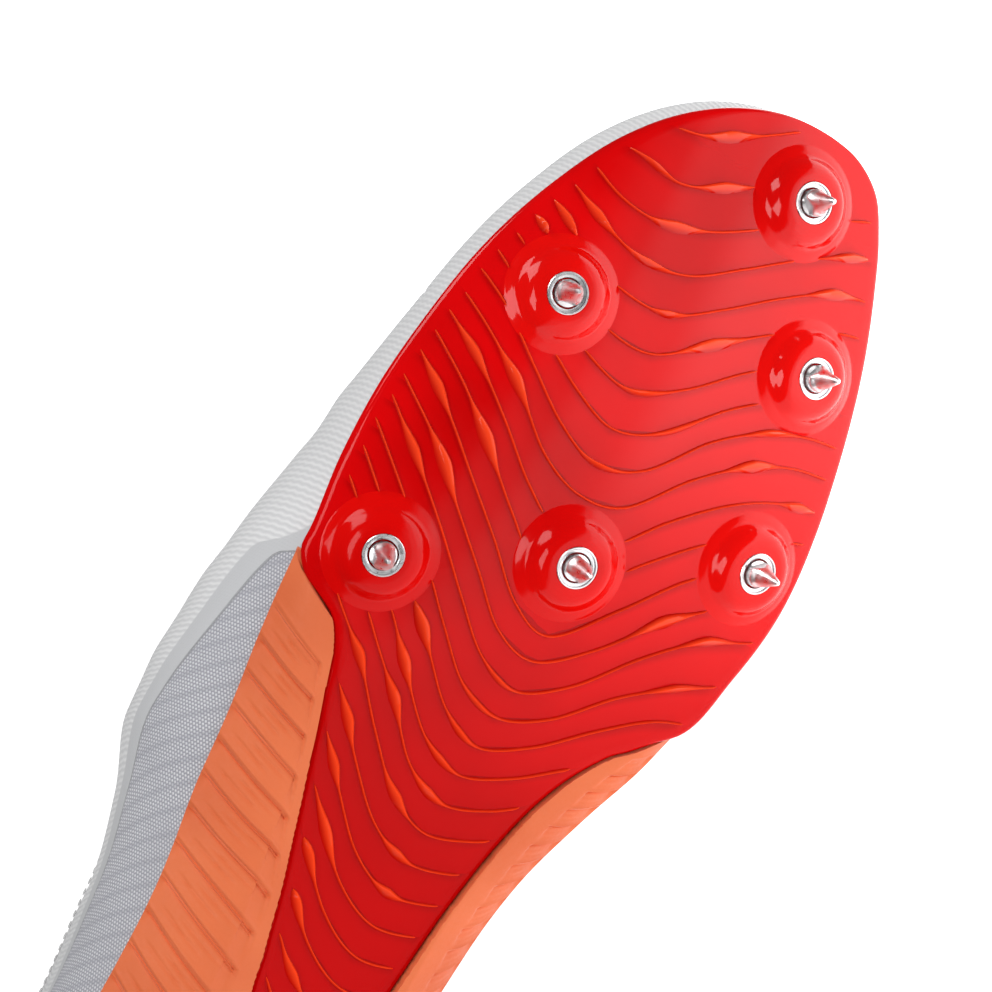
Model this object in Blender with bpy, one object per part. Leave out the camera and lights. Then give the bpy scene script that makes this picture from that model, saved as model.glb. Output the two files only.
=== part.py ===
"""Track spike shoe for the right foot, lying on its medial side.

The shoe is modelled standing, with x towards the toe, y towards the medial side and z up.
At the end it is laid on its side, on the medial edge of its sole and on its upper.
All lengths are in metres.
"""

import math

import bmesh
import bpy
import numpy as np
from mathutils import Matrix, Vector

for old in list(bpy.data.objects):
    bpy.data.objects.remove(old, do_unlink=True)

# The last and the sole.
LENGTH = 0.285
BALL_WIDTH = 0.099
HEEL_WIDTH = 0.066
TOE_SPRING = 0.017
HEEL_STACK = 0.0125
CROWN_RADIUS = 0.190
PLATE_THICKNESS = 0.0020
TAIL_RECESS = 0.0015
FOAM_EDGE = 0.0011
FEATHER_INSET = 0.0014
RAIL_RUN = 0.0150
RAIL_BULGE = 0.0016
RIB_HEIGHT = 0.0009
RIB_SLANT = 0.0080
RIBS_PER_SIDE = 28

# The upper and what is inside it.
HEEL_HEIGHT = 0.063
INSTEP_HEIGHT = 0.071
TOE_HEIGHT = 0.040
THROAT_WIDTH = 0.048
COLLAR_WIDTH = 0.060
WALL = 0.0016
LASTING_MARGIN = 0.0090
INSOLE_THICKNESS = 0.0030
INSOLE_CLEARANCE = 0.0012
TONGUE_THICKNESS = 0.0022
TONGUE_OVERRUN = 0.0180
TONGUE_RISE = 0.0112
EYESTAY_THICKNESS = 0.0009
LACE_WIDTH = 0.0060
LACE_THICKNESS = 0.0013
LACE_STEP = 0.0006
LACE_CLEARANCE = 0.0011
EYELET_ROWS = 6

# The studs: a moulded dome, a steel seat in it and a spike screwed through the seat.
DOME_RADIUS = 0.0113
DOME_HEIGHT = 0.0038
DOME_ROOT = 0.0012
SEAT_RADIUS = 0.0042
SEAT_BORE = 0.0030
SEAT_HEIGHT = 0.0013
SEAT_RECESS = 0.0003
SPIKE_RADIUS = 0.0027
SPIKE_FLAT = 0.0022
SPIKE_BODY = 0.0020
SPIKE_BEVEL = 0.0004
SPIKE_HEIGHT = 0.0072
SPIKE_TIP = 0.0004
SPIKE_TURN = 0.9

GAP = 0.0003
MERGE = 0.00001
ROUND = 16
STEP = 0.004

SIDES = {"lateral": -1.0, "medial": 1.0}
UP = Vector((0.0, 0.0, 1.0))


def smooth(xs, ys, at):
    """Value at one place of a curve through the rows that never overshoots them."""
    steps = np.diff(xs)
    slopes = np.diff(ys) / steps
    tangents = np.zeros(len(xs))
    tangents[0] = slopes[0]
    tangents[-1] = slopes[-1]
    for i in range(1, len(xs) - 1):
        if slopes[i - 1] * slopes[i] > 0:
            before = 2 * steps[i] + steps[i - 1]
            after = steps[i] + 2 * steps[i - 1]
            tangents[i] = (before + after) / (before / slopes[i - 1] + after / slopes[i])
    i = int(np.clip(np.searchsorted(xs, at) - 1, 0, len(xs) - 2))
    t = float(np.clip((at - xs[i]) / steps[i], 0.0, 1.0))
    rise = steps[i] * (t * (1 - t) ** 2 * tangents[i] - t * t * (1 - t) * tangents[i + 1])
    return float(ys[i] * (1 - t) ** 2 * (1 + 2 * t) + ys[i + 1] * t * t * (3 - 2 * t) + rise)


def between(value, first, last):
    """How far a value is from the first to the last of two others, held at 0 and 1."""
    return min(max((value - first) / (last - first), 0.0), 1.0)


class Table:
    """Rows of named columns; the first column is the share at which a row holds."""

    def __init__(self, columns, *rows):
        self.columns = columns.split()
        self.rows = np.array(rows)

    def column(self, name):
        return self.rows[:, self.columns.index(name)]

    def read(self, name, share):
        return smooth(self.rows[:, 0], self.column(name), share)


# Outer edge of the sole at shares of the length, as shares of half the width there.
OUTER = Table(
    "along lateral medial",
    (0.0035, 0.280, 0.270),
    (0.0175, 0.575, 0.550),
    (0.049, 0.835, 0.800),
    (0.105, 0.990, 0.940),
    (0.175, 1.015, 0.955),
    (0.263, 0.966, 0.850),
    (0.330, 0.937, 0.795),
    (0.386, 0.952, 0.785),
    (0.446, 0.963, 0.795),
    (0.504, 0.992, 0.860),
    (0.547, 1.010, 0.912),
    (0.585, 1.013, 0.938),
    (0.638, 1.018, 0.993),
    (0.691, 0.998, 1.008),
    (0.754, 0.960, 0.980),
    (0.813, 0.887, 0.915),
    (0.870, 0.760, 0.830),
    (0.9225, 0.588, 0.717),
    (0.958, 0.404, 0.622),
    (0.983, 0.195, 0.523),
    (0.9965, -0.006, 0.384),
)
TOE_TIP = 0.215
WIDTH_FROM = 0.20
WIDTH_TO = 0.68

# Edge of the moulded plate where it runs back between the rails, as shares of half the ball width.
TAIL = Table(
    "along lateral medial",
    (0.272, 0.110, 0.150),
    (0.285, 0.200, 0.245),
    (0.320, 0.255, 0.310),
    (0.366, 0.318, 0.350),
    (0.410, 0.395, 0.385),
    (0.451, 0.477, 0.420),
    (0.491, 0.558, 0.475),
    (0.527, 0.640, 0.560),
    (0.541, 0.700, 0.610),
    (0.550, 0.795, 0.650),
    (0.557, 0.875, 0.700),
    (0.572, 0.940, 0.790),
)
TAIL_END = (0.268, 0.01)
LATERAL_HORN = 0.555
MEDIAL_HORN = 0.594

# Side view of the sole: lift of its underside, foam over the plate, cross crown, recess of the tail.
PROFILE = Table(
    "along lift foam edge crown recess",
    (0.000, 0.240, 1.000, 1.0, 0.00, 1.0),
    (0.035, 0.050, 1.000, 1.0, 0.00, 1.0),
    (0.060, 0.000, 1.000, 1.0, 0.00, 1.0),
    (0.280, 0.000, 1.000, 1.0, 0.00, 1.0),
    (0.350, 0.130, 0.810, 1.0, 0.10, 1.0),
    (0.404, 0.224, 0.620, 1.0, 0.30, 1.0),
    (0.491, 0.188, 0.270, 1.0, 0.60, 0.8),
    (0.560, 0.075, 0.070, 1.0, 0.85, 0.1),
    (0.600, 0.025, 0.000, 1.0, 0.95, 0.0),
    (0.646, 0.000, 0.000, 0.0, 1.00, 0.0),
    (0.712, 0.047, 0.000, 0.0, 1.00, 0.0),
    (0.807, 0.260, 0.000, 0.0, 1.00, 0.0),
    (0.853, 0.410, 0.000, 0.0, 1.00, 0.0),
    (0.947, 0.765, 0.000, 0.0, 1.00, 0.0),
    (1.000, 1.000, 0.000, 0.0, 1.00, 0.0),
)

# Width of the slanted rail face at shares of the way from the heel to the horns, of RAIL_RUN.
RAILS = Table(
    "share lateral medial",
    (0.00, 0.55, 0.55),
    (0.25, 0.65, 0.60),
    (0.50, 0.95, 0.75),
    (0.75, 1.00, 0.80),
    (1.00, 0.62, 0.62),
)

# Section of the rail's face: share of the way down it, and of the rib's height there.
RAIL_SECTION = ((0.0, 0.0), (0.22, 0.9), (0.50, 1.0), (0.78, 0.8), (1.0, 0.0))
HEEL_CALM = 0.12

# Section along a rib: share of its pitch, and the height there as a share of the rib's height.
RIB_SECTION = ((0.30, -0.5), (0.96, 0.5))

# Places across a sheet from its edge to its middle, and across the foam's top and floor.
SHEET_PLACES = (0.0, 0.08, 0.24, 0.55, 1.0)
SHEET_LINES = 30
INSOLE_PLACES = (0.0, 0.35, 1.0)
SEAT_PLACES = (0.45, 0.76, 1.0)
FLOOR_PLACE = 0.45

# Top edge of the upper by share of the way round its foot, from the heel to the toe.
# along: share of the length; open: of half the collar's or, further on, the throat's width;
# height: of the instep's height; sway: offset of the middle, of half the ball width;
# lean: inward lean of the wall at its edge, in degrees;
# lateral and medial: outward lean of each side's wall where it leaves the sole, in degrees.
TOP = Table(
    "share along open height sway lean lateral medial",
    (0.00, 0.022, 0.00, 0.887, 0.00, 12, 14, 14),
    (0.04, 0.031, 0.333, 0.875, 0.00, 12, 14, 14),
    (0.09, 0.058, 0.667, 0.820, 0.00, 12, 15, 15),
    (0.16, 0.113, 0.917, 0.700, -0.01, 10, 18, 18),
    (0.24, 0.190, 1.000, 0.650, -0.03, 12, 24, 24),
    (0.32, 0.275, 1.056, 0.730, -0.06, 18, 30, 30),
    (0.38, 0.340, 1.046, 0.880, -0.08, 26, 36, 34),
    (0.43, 0.393, 1.000, 1.000, -0.14, 33, 46, 40),
    (0.52, 0.470, 0.833, 0.940, -0.09, 48, 36, 36),
    (0.56, 0.508, 0.729, 0.895, -0.05, 54, 26, 24),
    (0.60, 0.547, 0.625, 0.850, -0.01, 60, 13, 14),
    (0.66, 0.604, 0.500, 0.770, 0.03, 68, 5, 6),
    (0.69, 0.638, 0.396, 0.730, 0.05, 74, 4, 5),
    (0.715, 0.656, 0.00, 0.700, 0.06, 80, 4, 5),
    (0.80, 0.720, 0.00, 0.645, 0.09, 86, 9, 6),
    (0.88, 0.793, 0.00, 0.600, 0.14, 88, 17, 8),
    (0.94, 0.853, 0.00, 0.577, 0.18, 88, 22, 12),
    (1.00, 0.900, 0.00, 0.560, 0.20, 88, 16, 16),
)
COLLAR_WIDEST = 0.24
THROAT_TOP = 0.43
THROAT_CURVE = 0.67
VAMP_POINT = 0.715
FOOT_HANDLE = 0.50
EDGE_HANDLE = 0.44
UPPER_RISES = (0.0, 0.08, 0.20, 0.34, 0.49, 0.64, 0.78, 0.90, 1.0)
MARGIN_PLACES = (1.0, 0.3)

# Lower edge of the overlay round the throat: share round the upper, and rise up its wall.
EYESTAY = Table(
    "share low",
    (0.430, 0.78),
    (0.690, 0.78),
    (0.730, 0.84),
    (0.752, 0.92),
)
EYESTAY_PLACES = (0.0, 0.55, 1.0)

# The tongue: rises under the wall at which its sides lie, its arch over the foot and its ends.
TONGUE_RISES = (0.80, 0.90, 0.985)
TONGUE_BRIDGE = (0.25, 0.5, 0.75)
TONGUE_ARCH = 0.06
TONGUE_TOP = 0.44
TONGUE_START = 0.475
TONGUE_SINK = 0.64
TONGUE_FRONT = 0.740
TONGUE_DIP = 0.0014
TONGUE_TIP = ((1.0, 0.70, 0.10), (0.55, 0.84, 0.0))

# Laces: rise of the eyelets, rise and share of the way over at which a bar leaves the throat's edge.
EYELET_RISE = 0.90
LACE_RISE = 0.99
LACE_LEAVE = 0.26
LACE_ARCH = 0.10
LACE_TOP = 0.450
LACE_FRONT = 0.665
LACE_STEPS = 2

# Heaviness of a piece's surface, for finding the side it rests on.
HEAVY = {"spike_plate": 1.2, "midsole": 1.0, "upper": 0.5, "insole": 0.4, "tongue": 0.5}
HEAVY_TRIM = 0.5
HEAVY_STEEL = 5.0
MEDIAL_FACING = 0.7

# Section of a dome from the seat's pocket outwards, as shares of its radius and height.
DOME_SECTION = ((0.53, 0.985), (0.66, 0.84), (0.80, 0.50), (0.88, 0.18), (1.0, -0.03))

# Spikes: share of the length and share of half the ball width, medial positive.
SPIKES = {
    1: (0.949, 0.220),
    2: (0.807, -0.541),
    3: (0.846, 0.572),
    4: (0.595, -0.673),
    5: (0.652, 0.018),
    6: (0.710, 0.741),
}


def half_width(along):
    """Half the width that the outline's shares refer to, from the heel's to the ball's."""
    towards_ball = between(along, WIDTH_FROM, WIDTH_TO)
    return 0.5 * (HEEL_WIDTH + (BALL_WIDTH - HEEL_WIDTH) * towards_ball)


def loop_through(corners, steps=24):
    """Points of a smooth closed curve through the corners."""
    corners = np.array(corners)
    ahead = np.roll(corners, -1, axis=0) - corners
    spans = np.linalg.norm(ahead, axis=1)[:, None]
    rate = ahead / spans
    back_rate = np.roll(rate, 1, axis=0)
    back_span = np.roll(spans, 1, axis=0)
    tangents = (back_rate * spans + rate * back_span) / (spans + back_span)
    points = []
    for i, start in enumerate(corners):
        end = corners[(i + 1) % len(corners)]
        leave = tangents[i] * spans[i]
        arrive = tangents[(i + 1) % len(corners)] * spans[i]
        for t in np.arange(steps) / steps:
            point = start * (1 - t) ** 2 * (1 + 2 * t) + end * t * t * (3 - 2 * t)
            points.append(point + leave * t * (1 - t) ** 2 - arrive * t * t * (1 - t))
    return np.array(points), steps


class Outline:
    """Closed plan outline with a lateral and a medial side, read by share of each side's length."""

    def __init__(self, back_tip, front_tip, lateral, medial):
        corners = [back_tip] + lateral + [front_tip] + medial[::-1]
        points, steps = loop_through(corners)
        turn = (len(lateral) + 1) * steps
        closed = np.vstack([points, points[:1]])
        self.paths = {"lateral": closed[: turn + 1], "medial": closed[turn:][::-1]}
        self.lengths = {}
        for side, path in self.paths.items():
            spans = np.linalg.norm(np.diff(path, axis=0), axis=1)
            self.lengths[side] = np.concatenate([[0.0], np.cumsum(spans)])

    def length(self, side):
        return self.lengths[side][-1]

    def point(self, side, share):
        run = self.lengths[side]
        at = min(max(share, 0.0), 1.0) * run[-1]
        path = self.paths[side]
        return Vector((np.interp(at, run, path[:, 0]), np.interp(at, run, path[:, 1]), 0.0))

    def outward(self, side, share):
        """Level direction away from the outline; at the two tips it is the same for both sides."""
        if share <= 0.0:
            return Vector((-1.0, 0.0, 0.0))
        if share >= 1.0:
            return Vector((1.0, 0.0, 0.0))
        run = self.point(side, share + STEP) - self.point(side, share - STEP)
        return Vector((run.y, -run.x, 0.0)).normalized() * -SIDES[side]

    def inset(self, side, share, distance):
        return self.point(side, share) - self.outward(side, share) * distance

    def share_at(self, side, x):
        """Share at which this side passes the length x, on the long middle stretch."""
        path = self.paths[side]
        middle = slice(len(path) // 8, len(path) - len(path) // 8)
        return float(np.interp(x, path[middle, 0], self.lengths[side][middle]) / self.length(side))


def outline_rows(table, side, first, half):
    rows = zip(table.column("along"), table.column(side))
    return [(a * LENGTH, SIDES[side] * w * half(a)) for a, w in rows if a > first]


def sole_outline():
    sides = [outline_rows(OUTER, side, 0.0, half_width) for side in SIDES]
    return Outline((0.0, 0.0), (LENGTH, TOE_TIP * BALL_WIDTH / 2), *sides)


def plate_outline():
    """The plate follows the sole's edge round the toe and narrows between the rails behind the ball."""
    sides = []
    for side in SIDES:
        tail = outline_rows(TAIL, side, 0.0, lambda along: BALL_WIDTH / 2)
        front = outline_rows(OUTER, side, TAIL.column("along")[-1] + 0.005, half_width)
        sides.append(tail + front)
    tail_tip = (TAIL_END[0] * LENGTH, TAIL_END[1] * BALL_WIDTH)
    return Outline(tail_tip, (LENGTH, TOE_TIP * BALL_WIDTH / 2), *sides)


SOLE = sole_outline()
PLATE = plate_outline()


def ground(x, y):
    """Height of the sole's underside: toe spring, arch and cross crown."""
    along = x / LENGTH
    crown = PROFILE.read("crown", along) * y * y / (2 * CROWN_RADIUS)
    return TOE_SPRING * PROFILE.read("lift", along) + crown


def plate_under(x, y):
    return ground(x, y) + TAIL_RECESS * PROFILE.read("recess", x / LENGTH)


def bed(x, y):
    """Height of the upper's underside: ground, plate and foam."""
    along = x / LENGTH
    foam = HEEL_STACK - PLATE_THICKNESS - FOAM_EDGE - GAP
    over_plate = FOAM_EDGE * PROFILE.read("edge", along) + foam * PROFILE.read("foam", along)
    recess = TAIL_RECESS * PROFILE.read("recess", along) * (1.0 - PROFILE.read("foam", along))
    return ground(x, y) + PLATE_THICKNESS + GAP + over_plate + recess


def at_height(point, height):
    return Vector((point.x, point.y, height(point.x, point.y)))


def plain_material(name, colour, roughness, metallic=0.0):
    material = bpy.data.materials.new(name)
    material.use_nodes = True
    shader = material.node_tree.nodes["Principled BSDF"]
    shader.inputs["Base Color"].default_value = (*colour, 1.0)
    shader.inputs["Roughness"].default_value = roughness
    shader.inputs["Metallic"].default_value = metallic
    return material


RED = plain_material("plate_red", (0.70, 0.005, 0.008), 0.20)
ORANGE = plain_material("foam_orange", (0.80, 0.19, 0.06), 0.60)
MESH_WHITE = plain_material("mesh_white", (0.62, 0.62, 0.65), 0.85)
FILM_GREY = plain_material("film_grey", (0.60, 0.60, 0.62), 0.55)
LINING_GREY = plain_material("lining_grey", (0.45, 0.45, 0.47), 0.90)
LACE_WHITE = plain_material("lace_white", (0.72, 0.71, 0.70), 0.90)
STEEL = plain_material("steel", (0.62, 0.62, 0.60), 0.25, 1.0)


def finish(name, mesh_maker, material, crease=40.0):
    """Make an object from a bmesh, with its shading sharp only where faces meet steeply."""
    bmesh.ops.remove_doubles(mesh_maker, verts=mesh_maker.verts, dist=MERGE)
    bmesh.ops.recalc_face_normals(mesh_maker, faces=mesh_maker.faces)
    mesh = bpy.data.meshes.new(name)
    mesh_maker.to_mesh(mesh)
    mesh_maker.free()
    mesh.shade_smooth()
    mesh.set_sharp_from_angle(angle=math.radians(crease))
    mesh.materials.append(material)
    made = bpy.data.objects.new(name, mesh)
    bpy.context.collection.objects.link(made)
    return made


def add_grid(maker, lines, closed=False):
    """Quads between neighbouring lines of points; closed joins each line's end to its start."""
    rows = [[maker.verts.new(point) for point in line] for line in lines]
    for a, b in zip(rows, rows[1:]):
        count = len(a)
        for i in range(count if closed else count - 1):
            j = (i + 1) % count
            maker.faces.new((a[i], a[j], b[j], b[i]))
    return rows


def thicken(made, thickness, outward):
    """Give a sheet its wall, inwards or outwards, with a rim at its edges."""
    solid = made.modifiers.new("wall", "SOLIDIFY")
    solid.thickness = thickness
    solid.offset = 1.0 if outward else -1.0
    solid.use_even_offset = True
    solid.use_rim = True
    solid.use_quality_normals = True


def hidden(made):
    made.hide_render = True
    made.display_type = "WIRE"
    return made


def combine(made, other, operation):
    cut = made.modifiers.new(other.name, "BOOLEAN")
    cut.operation = operation
    cut.solver = "EXACT"
    cut.object = other


def across_line(outline, share, inset, places, height):
    """Points from the lateral to the medial edge; places are shares of the way to the middle."""
    lateral = outline.inset("lateral", share, inset)
    medial = outline.inset("medial", share, inset)
    middle = (lateral + medial) / 2
    line = [lateral.lerp(middle, place) for place in places]
    line += [middle.lerp(medial, 1.0 - place) for place in reversed(places[:-1])]
    return [at_height(point, height) for point in line]


def shares_between(first, last, count, crowd=0.5):
    """Shares that crowd towards both ends, where an outline turns round its tips."""
    steps = np.linspace(0.0, 1.0, count)
    eased = 0.5 - 0.5 * np.cos(math.pi * steps)
    return first + (last - first) * (crowd * eased + (1.0 - crowd) * steps)


def lens(name, outline, shares, inset, places, under, over, material):
    """Closed sheet between two heights, spanning an outline from one tip to the other."""
    maker = bmesh.new()
    loops = []
    for share in shares:
        bottom = across_line(outline, share, inset, places, under)
        top = across_line(outline, share, inset, places, over)
        loops.append(bottom + top[::-1])
    add_grid(maker, loops, closed=True)
    return finish(name, maker, material)


def make_spun(name, profile, material, place, flat=None):
    """Turned piece about its z axis from (radius, height) points; flat is (height, half width)."""
    maker = bmesh.new()
    rings = []
    for radius, height in profile:
        ring = []
        for i in range(ROUND):
            turn = 2 * math.pi * i / ROUND
            across = radius * math.sin(turn)
            if flat and height > flat[0] - MERGE:
                across = min(max(across, -flat[1]), flat[1])
            ring.append(Vector((radius * math.cos(turn), across, height)))
        rings.append(ring)
    add_grid(maker, rings, closed=True)
    made = finish(name, maker, material, crease=35.0)
    made.matrix_world = place
    return made


def spike_place(number):
    """Matrix at the top of a spike's dome, with z along the spike, out of the plate."""
    along, across = SPIKES[number]
    x = along * LENGTH
    y = across * BALL_WIDTH / 2
    step = STEP * LENGTH
    slope_x = (plate_under(x + step, y) - plate_under(x - step, y)) / (2 * step)
    slope_y = (plate_under(x, y + step) - plate_under(x, y - step)) / (2 * step)
    out = Vector((slope_x, slope_y, -1.0)).normalized()
    forward = Vector((1.0, 0.0, slope_x))
    side = out.cross(forward).normalized()
    forward = side.cross(out)
    turn = Matrix((forward, side, out)).transposed().to_4x4()
    return Matrix.Translation((x, y, plate_under(x, y))) @ turn


def make_dome(number):
    """Moulded boss that joins the plate, with a pocket for the steel seat."""
    pocket = SEAT_RADIUS + GAP
    floor = DOME_HEIGHT - SEAT_HEIGHT - GAP
    profile = [(0.0, floor), (pocket, floor), (pocket, DOME_HEIGHT)]
    profile += [(radius * DOME_RADIUS, height * DOME_HEIGHT) for radius, height in DOME_SECTION]
    profile += [(DOME_RADIUS, -DOME_ROOT), (0.0, -DOME_ROOT)]
    return hidden(make_spun(f"dome_{number}", profile, RED, spike_place(number)))


def make_plate():
    shares = shares_between(0.0, 1.0, SHEET_LINES)

    def top(x, y):
        return plate_under(x, y) + PLATE_THICKNESS

    plate = lens("spike_plate", PLATE, shares, 0.0, SHEET_PLACES, plate_under, top, RED)
    for number in SPIKES:
        combine(plate, make_dome(number), "UNION")
    return plate


def make_seat(number):
    low = DOME_HEIGHT - SEAT_HEIGHT
    face = DOME_HEIGHT - SEAT_RECESS
    profile = [
        (SEAT_BORE, low),
        (SEAT_BORE, face),
        (SEAT_RADIUS, DOME_HEIGHT),
        (SEAT_RADIUS, low),
        (SEAT_BORE, low),
    ]
    return make_spun(f"spike_seat_{number}", profile, STEEL, spike_place(number))


def make_spike(number):
    """Round body with two wrench flats and a cone; its stem stands in the seat's bore."""
    low = DOME_HEIGHT - SEAT_HEIGHT
    face = DOME_HEIGHT - SEAT_RECESS
    top = face + SPIKE_BODY
    profile = [
        (0.0, low),
        (SPIKE_RADIUS, low),
        (SPIKE_RADIUS, face),
        (SPIKE_RADIUS, top),
        (SPIKE_RADIUS - SPIKE_BEVEL, top + SPIKE_BEVEL),
        (SPIKE_TIP, face + SPIKE_HEIGHT),
        (0.0, face + SPIKE_HEIGHT),
    ]
    place = spike_place(number) @ Matrix.Rotation(number * SPIKE_TURN, 4, "Z")
    return make_spun(f"spike_{number}", profile, STEEL, place, flat=(face, SPIKE_FLAT))


def rail_line(side, share, end_share, depth):
    """One line down the rail's slanted face, from its lip to the sole's underside.

    The line runs back towards the heel on its way down, as the ribs do, and depth is the
    height of the rib there, negative in a trough.
    """
    heel_fade = min(share / (HEEL_CALM * end_share), 1.0)
    slant = RIB_SLANT / SOLE.length(side) * heel_fade
    run = RAIL_RUN * RAILS.read(side, share / end_share)
    line = []
    for down, rib in RAIL_SECTION:
        at = max(share - slant * down, 0.0)
        point = SOLE.inset(side, at, run * down)
        lip = bed(point.x, point.y) - GAP - FOAM_EDGE / 2
        foot = ground(point.x, point.y)
        height = lip + (foot - lip) * down
        swell = RAIL_BULGE * math.sin(math.pi * down) + depth * rib
        out = SOLE.outward(side, at)
        face = (out * (lip - foot) - UP * run).normalized()
        line.append(Vector((point.x, point.y, height)) + face * swell)
    return line


def midsole_line(share, depth):
    """Closed loop across the midsole at one share of the way to the horns."""
    halves = {}
    for side, horn in (("lateral", LATERAL_HORN), ("medial", MEDIAL_HORN)):
        end_share = SOLE.share_at(side, horn * LENGTH)
        at = share * end_share
        lip = SOLE.inset(side, at, FEATHER_INSET)
        halves[side] = (lip, rail_line(side, at, end_share, depth))
    seat = (halves["lateral"][0] + halves["medial"][0]) / 2
    foot = (halves["lateral"][1][-1] + halves["medial"][1][-1]) / 2

    def top(point):
        return at_height(point, lambda x, y: bed(x, y) - GAP)

    def half(side):
        lip, rail = halves[side]
        rim = [top(seat.lerp(lip, place)) for place in SEAT_PLACES]
        floor = [at_height(rail[-1].lerp(foot, FLOOR_PLACE), ground)]
        return rim + rail + floor

    loop = [top(seat)] + half("lateral") + [at_height(foot, ground)] + half("medial")[::-1]
    return loop


def cap_crescent(maker, loop):
    """Close the front of the foam, whose section is a crescent: seat, rim, rail, floor and foot."""
    turn = len(loop)
    foot = turn // 2
    outer = len(SEAT_PLACES) - 1
    rail_end = len(SEAT_PLACES) + len(RAIL_SECTION)
    for mirror in (False, True):
        corner = [loop[-i % turn] if mirror else loop[i] for i in range(foot + 1)]
        maker.faces.new((corner[0], corner[1], corner[rail_end + 1], corner[foot]))
        maker.faces.new((corner[1], corner[outer], corner[rail_end], corner[rail_end + 1]))
        maker.faces.new([corner[i] for i in range(outer, rail_end + 1)])


def make_midsole():
    """Foam wedge with shingled ribs round its side; the plate's tail lies in a channel under it."""
    maker = bmesh.new()
    loops = [midsole_line(0.0, 0.0)]
    for rib in range(RIBS_PER_SIDE):
        for part, depth in RIB_SECTION:
            share = (rib + part) / RIBS_PER_SIDE
            loops.append(midsole_line(share, depth * RIB_HEIGHT))
    loops.append(midsole_line(1.0, 0.0))
    rows = add_grid(maker, loops, closed=True)
    cap_crescent(maker, rows[-1])
    midsole = finish("midsole", maker, ORANGE, crease=30.0)

    def under(x, y):
        return ground(x, y) - HEEL_STACK

    def over(x, y):
        return plate_under(x, y) + PLATE_THICKNESS + GAP

    shares = shares_between(0.0, 1.0, SHEET_LINES)
    channel = lens("channel", PLATE, shares, -GAP, SHEET_PLACES, under, over, ORANGE)
    combine(midsole, hidden(channel), "DIFFERENCE")
    return midsole


def edge_point(side, share):
    """Point of the upper's top edge."""
    heights = TOP.column("height")
    heel = HEEL_HEIGHT - INSTEP_HEIGHT * heights[0]
    toe = TOE_HEIGHT - INSTEP_HEIGHT * heights[-1]
    z = INSTEP_HEIGHT * TOP.read("height", share)
    z += heel * (1.0 - between(share, 0.0, THROAT_TOP)) + toe * between(share, THROAT_TOP, 1.0)
    ahead = between(share, COLLAR_WIDEST, THROAT_TOP)
    half = (COLLAR_WIDTH + (THROAT_WIDTH - COLLAR_WIDTH) * ahead) / 2
    y = SIDES[side] * TOP.read("open", share) * half + TOP.read("sway", share) * BALL_WIDTH / 2
    return Vector((TOP.read("along", share) * LENGTH, y, z))


def upper_handles(side, share):
    """The four Bezier points of one line up the upper's wall."""
    foot = at_height(SOLE.inset(side, share, FEATHER_INSET), bed)
    edge = edge_point(side, share)
    reach = (edge - foot).length
    out = SOLE.outward(side, share)
    flare = math.radians(TOP.read(side, share))
    up_foot = out * math.sin(flare) + UP * math.cos(flare)
    ahead = between(share, THROAT_TOP, VAMP_POINT)
    across = Vector((edge.x - foot.x, edge.y - foot.y, 0.0)).normalized()
    inward = (-out).lerp(across, ahead).normalized()
    lean = math.radians(TOP.read("lean", share))
    up_edge = inward * math.sin(lean) + UP * math.cos(lean)
    if share >= VAMP_POINT:
        ridge = edge_point(side, min(share + STEP, 1.0)) - edge_point(side, share - STEP)
        ridge /= ridge.x
        up_edge = (ridge * inward.x + Vector((0.0, inward.y, 0.0))).normalized()
    return foot, foot + up_foot * FOOT_HANDLE * reach, edge - up_edge * EDGE_HANDLE * reach, edge


def upper_point(side, share, rise):
    a, b, c, d = upper_handles(side, share)
    t = rise
    return a * (1 - t) ** 3 + b * 3 * t * (1 - t) ** 2 + c * 3 * t * t * (1 - t) + d * t ** 3


def upper_normal(side, share, rise):
    before = upper_point(side, max(share - STEP, 0.0), rise)
    after = upper_point(side, min(share + STEP, 1.0), rise)
    low = upper_point(side, share, max(rise - STEP, 0.0))
    high = upper_point(side, share, min(rise + STEP, 1.0))
    normal = (high - low).cross(after - before).normalized()
    return normal * SIDES[side]


def off_upper(side, share, rise, distance):
    return upper_point(side, share, rise) + upper_normal(side, share, rise) * distance


def upper_shares():
    """Lines round the upper: closer at the heel, at the end of the throat and at the toe."""
    collar = shares_between(0.0, THROAT_TOP, 13, crowd=0.3)
    throat = np.linspace(THROAT_TOP, THROAT_CURVE, 7)[1:]
    vamp = np.linspace(THROAT_CURVE, VAMP_POINT, 4)[1:]
    toe = shares_between(VAMP_POINT, 1.0, 10, crowd=0.4)[1:]
    return np.concatenate([collar, throat, vamp, toe])


def make_upper():
    """One hollow shell: a lasting margin turned in under the foot, and walls up to the edge."""
    maker = bmesh.new()
    for side in SIDES:
        lines = []
        for share in upper_shares():
            margin = [SOLE.inset(side, share, FEATHER_INSET + LASTING_MARGIN * m) for m in MARGIN_PLACES]
            line = [at_height(point, bed) for point in margin]
            line += [upper_point(side, share, rise) for rise in UPPER_RISES]
            lines.append(line)
        add_grid(maker, lines)
    upper = finish("upper", maker, MESH_WHITE, crease=60.0)
    face_out(upper)
    thicken(upper, WALL, outward=False)
    return upper


def face_out(made):
    """Turn a sheet's faces away from the inside of the shoe."""
    mesh = made.data
    inside = Vector((0.45 * LENGTH, 0.0, 0.4 * INSTEP_HEIGHT))
    votes = sum((f.center - inside).dot(f.normal) * f.area for f in mesh.polygons)
    if votes < 0:
        mesh.flip_normals()


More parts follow.
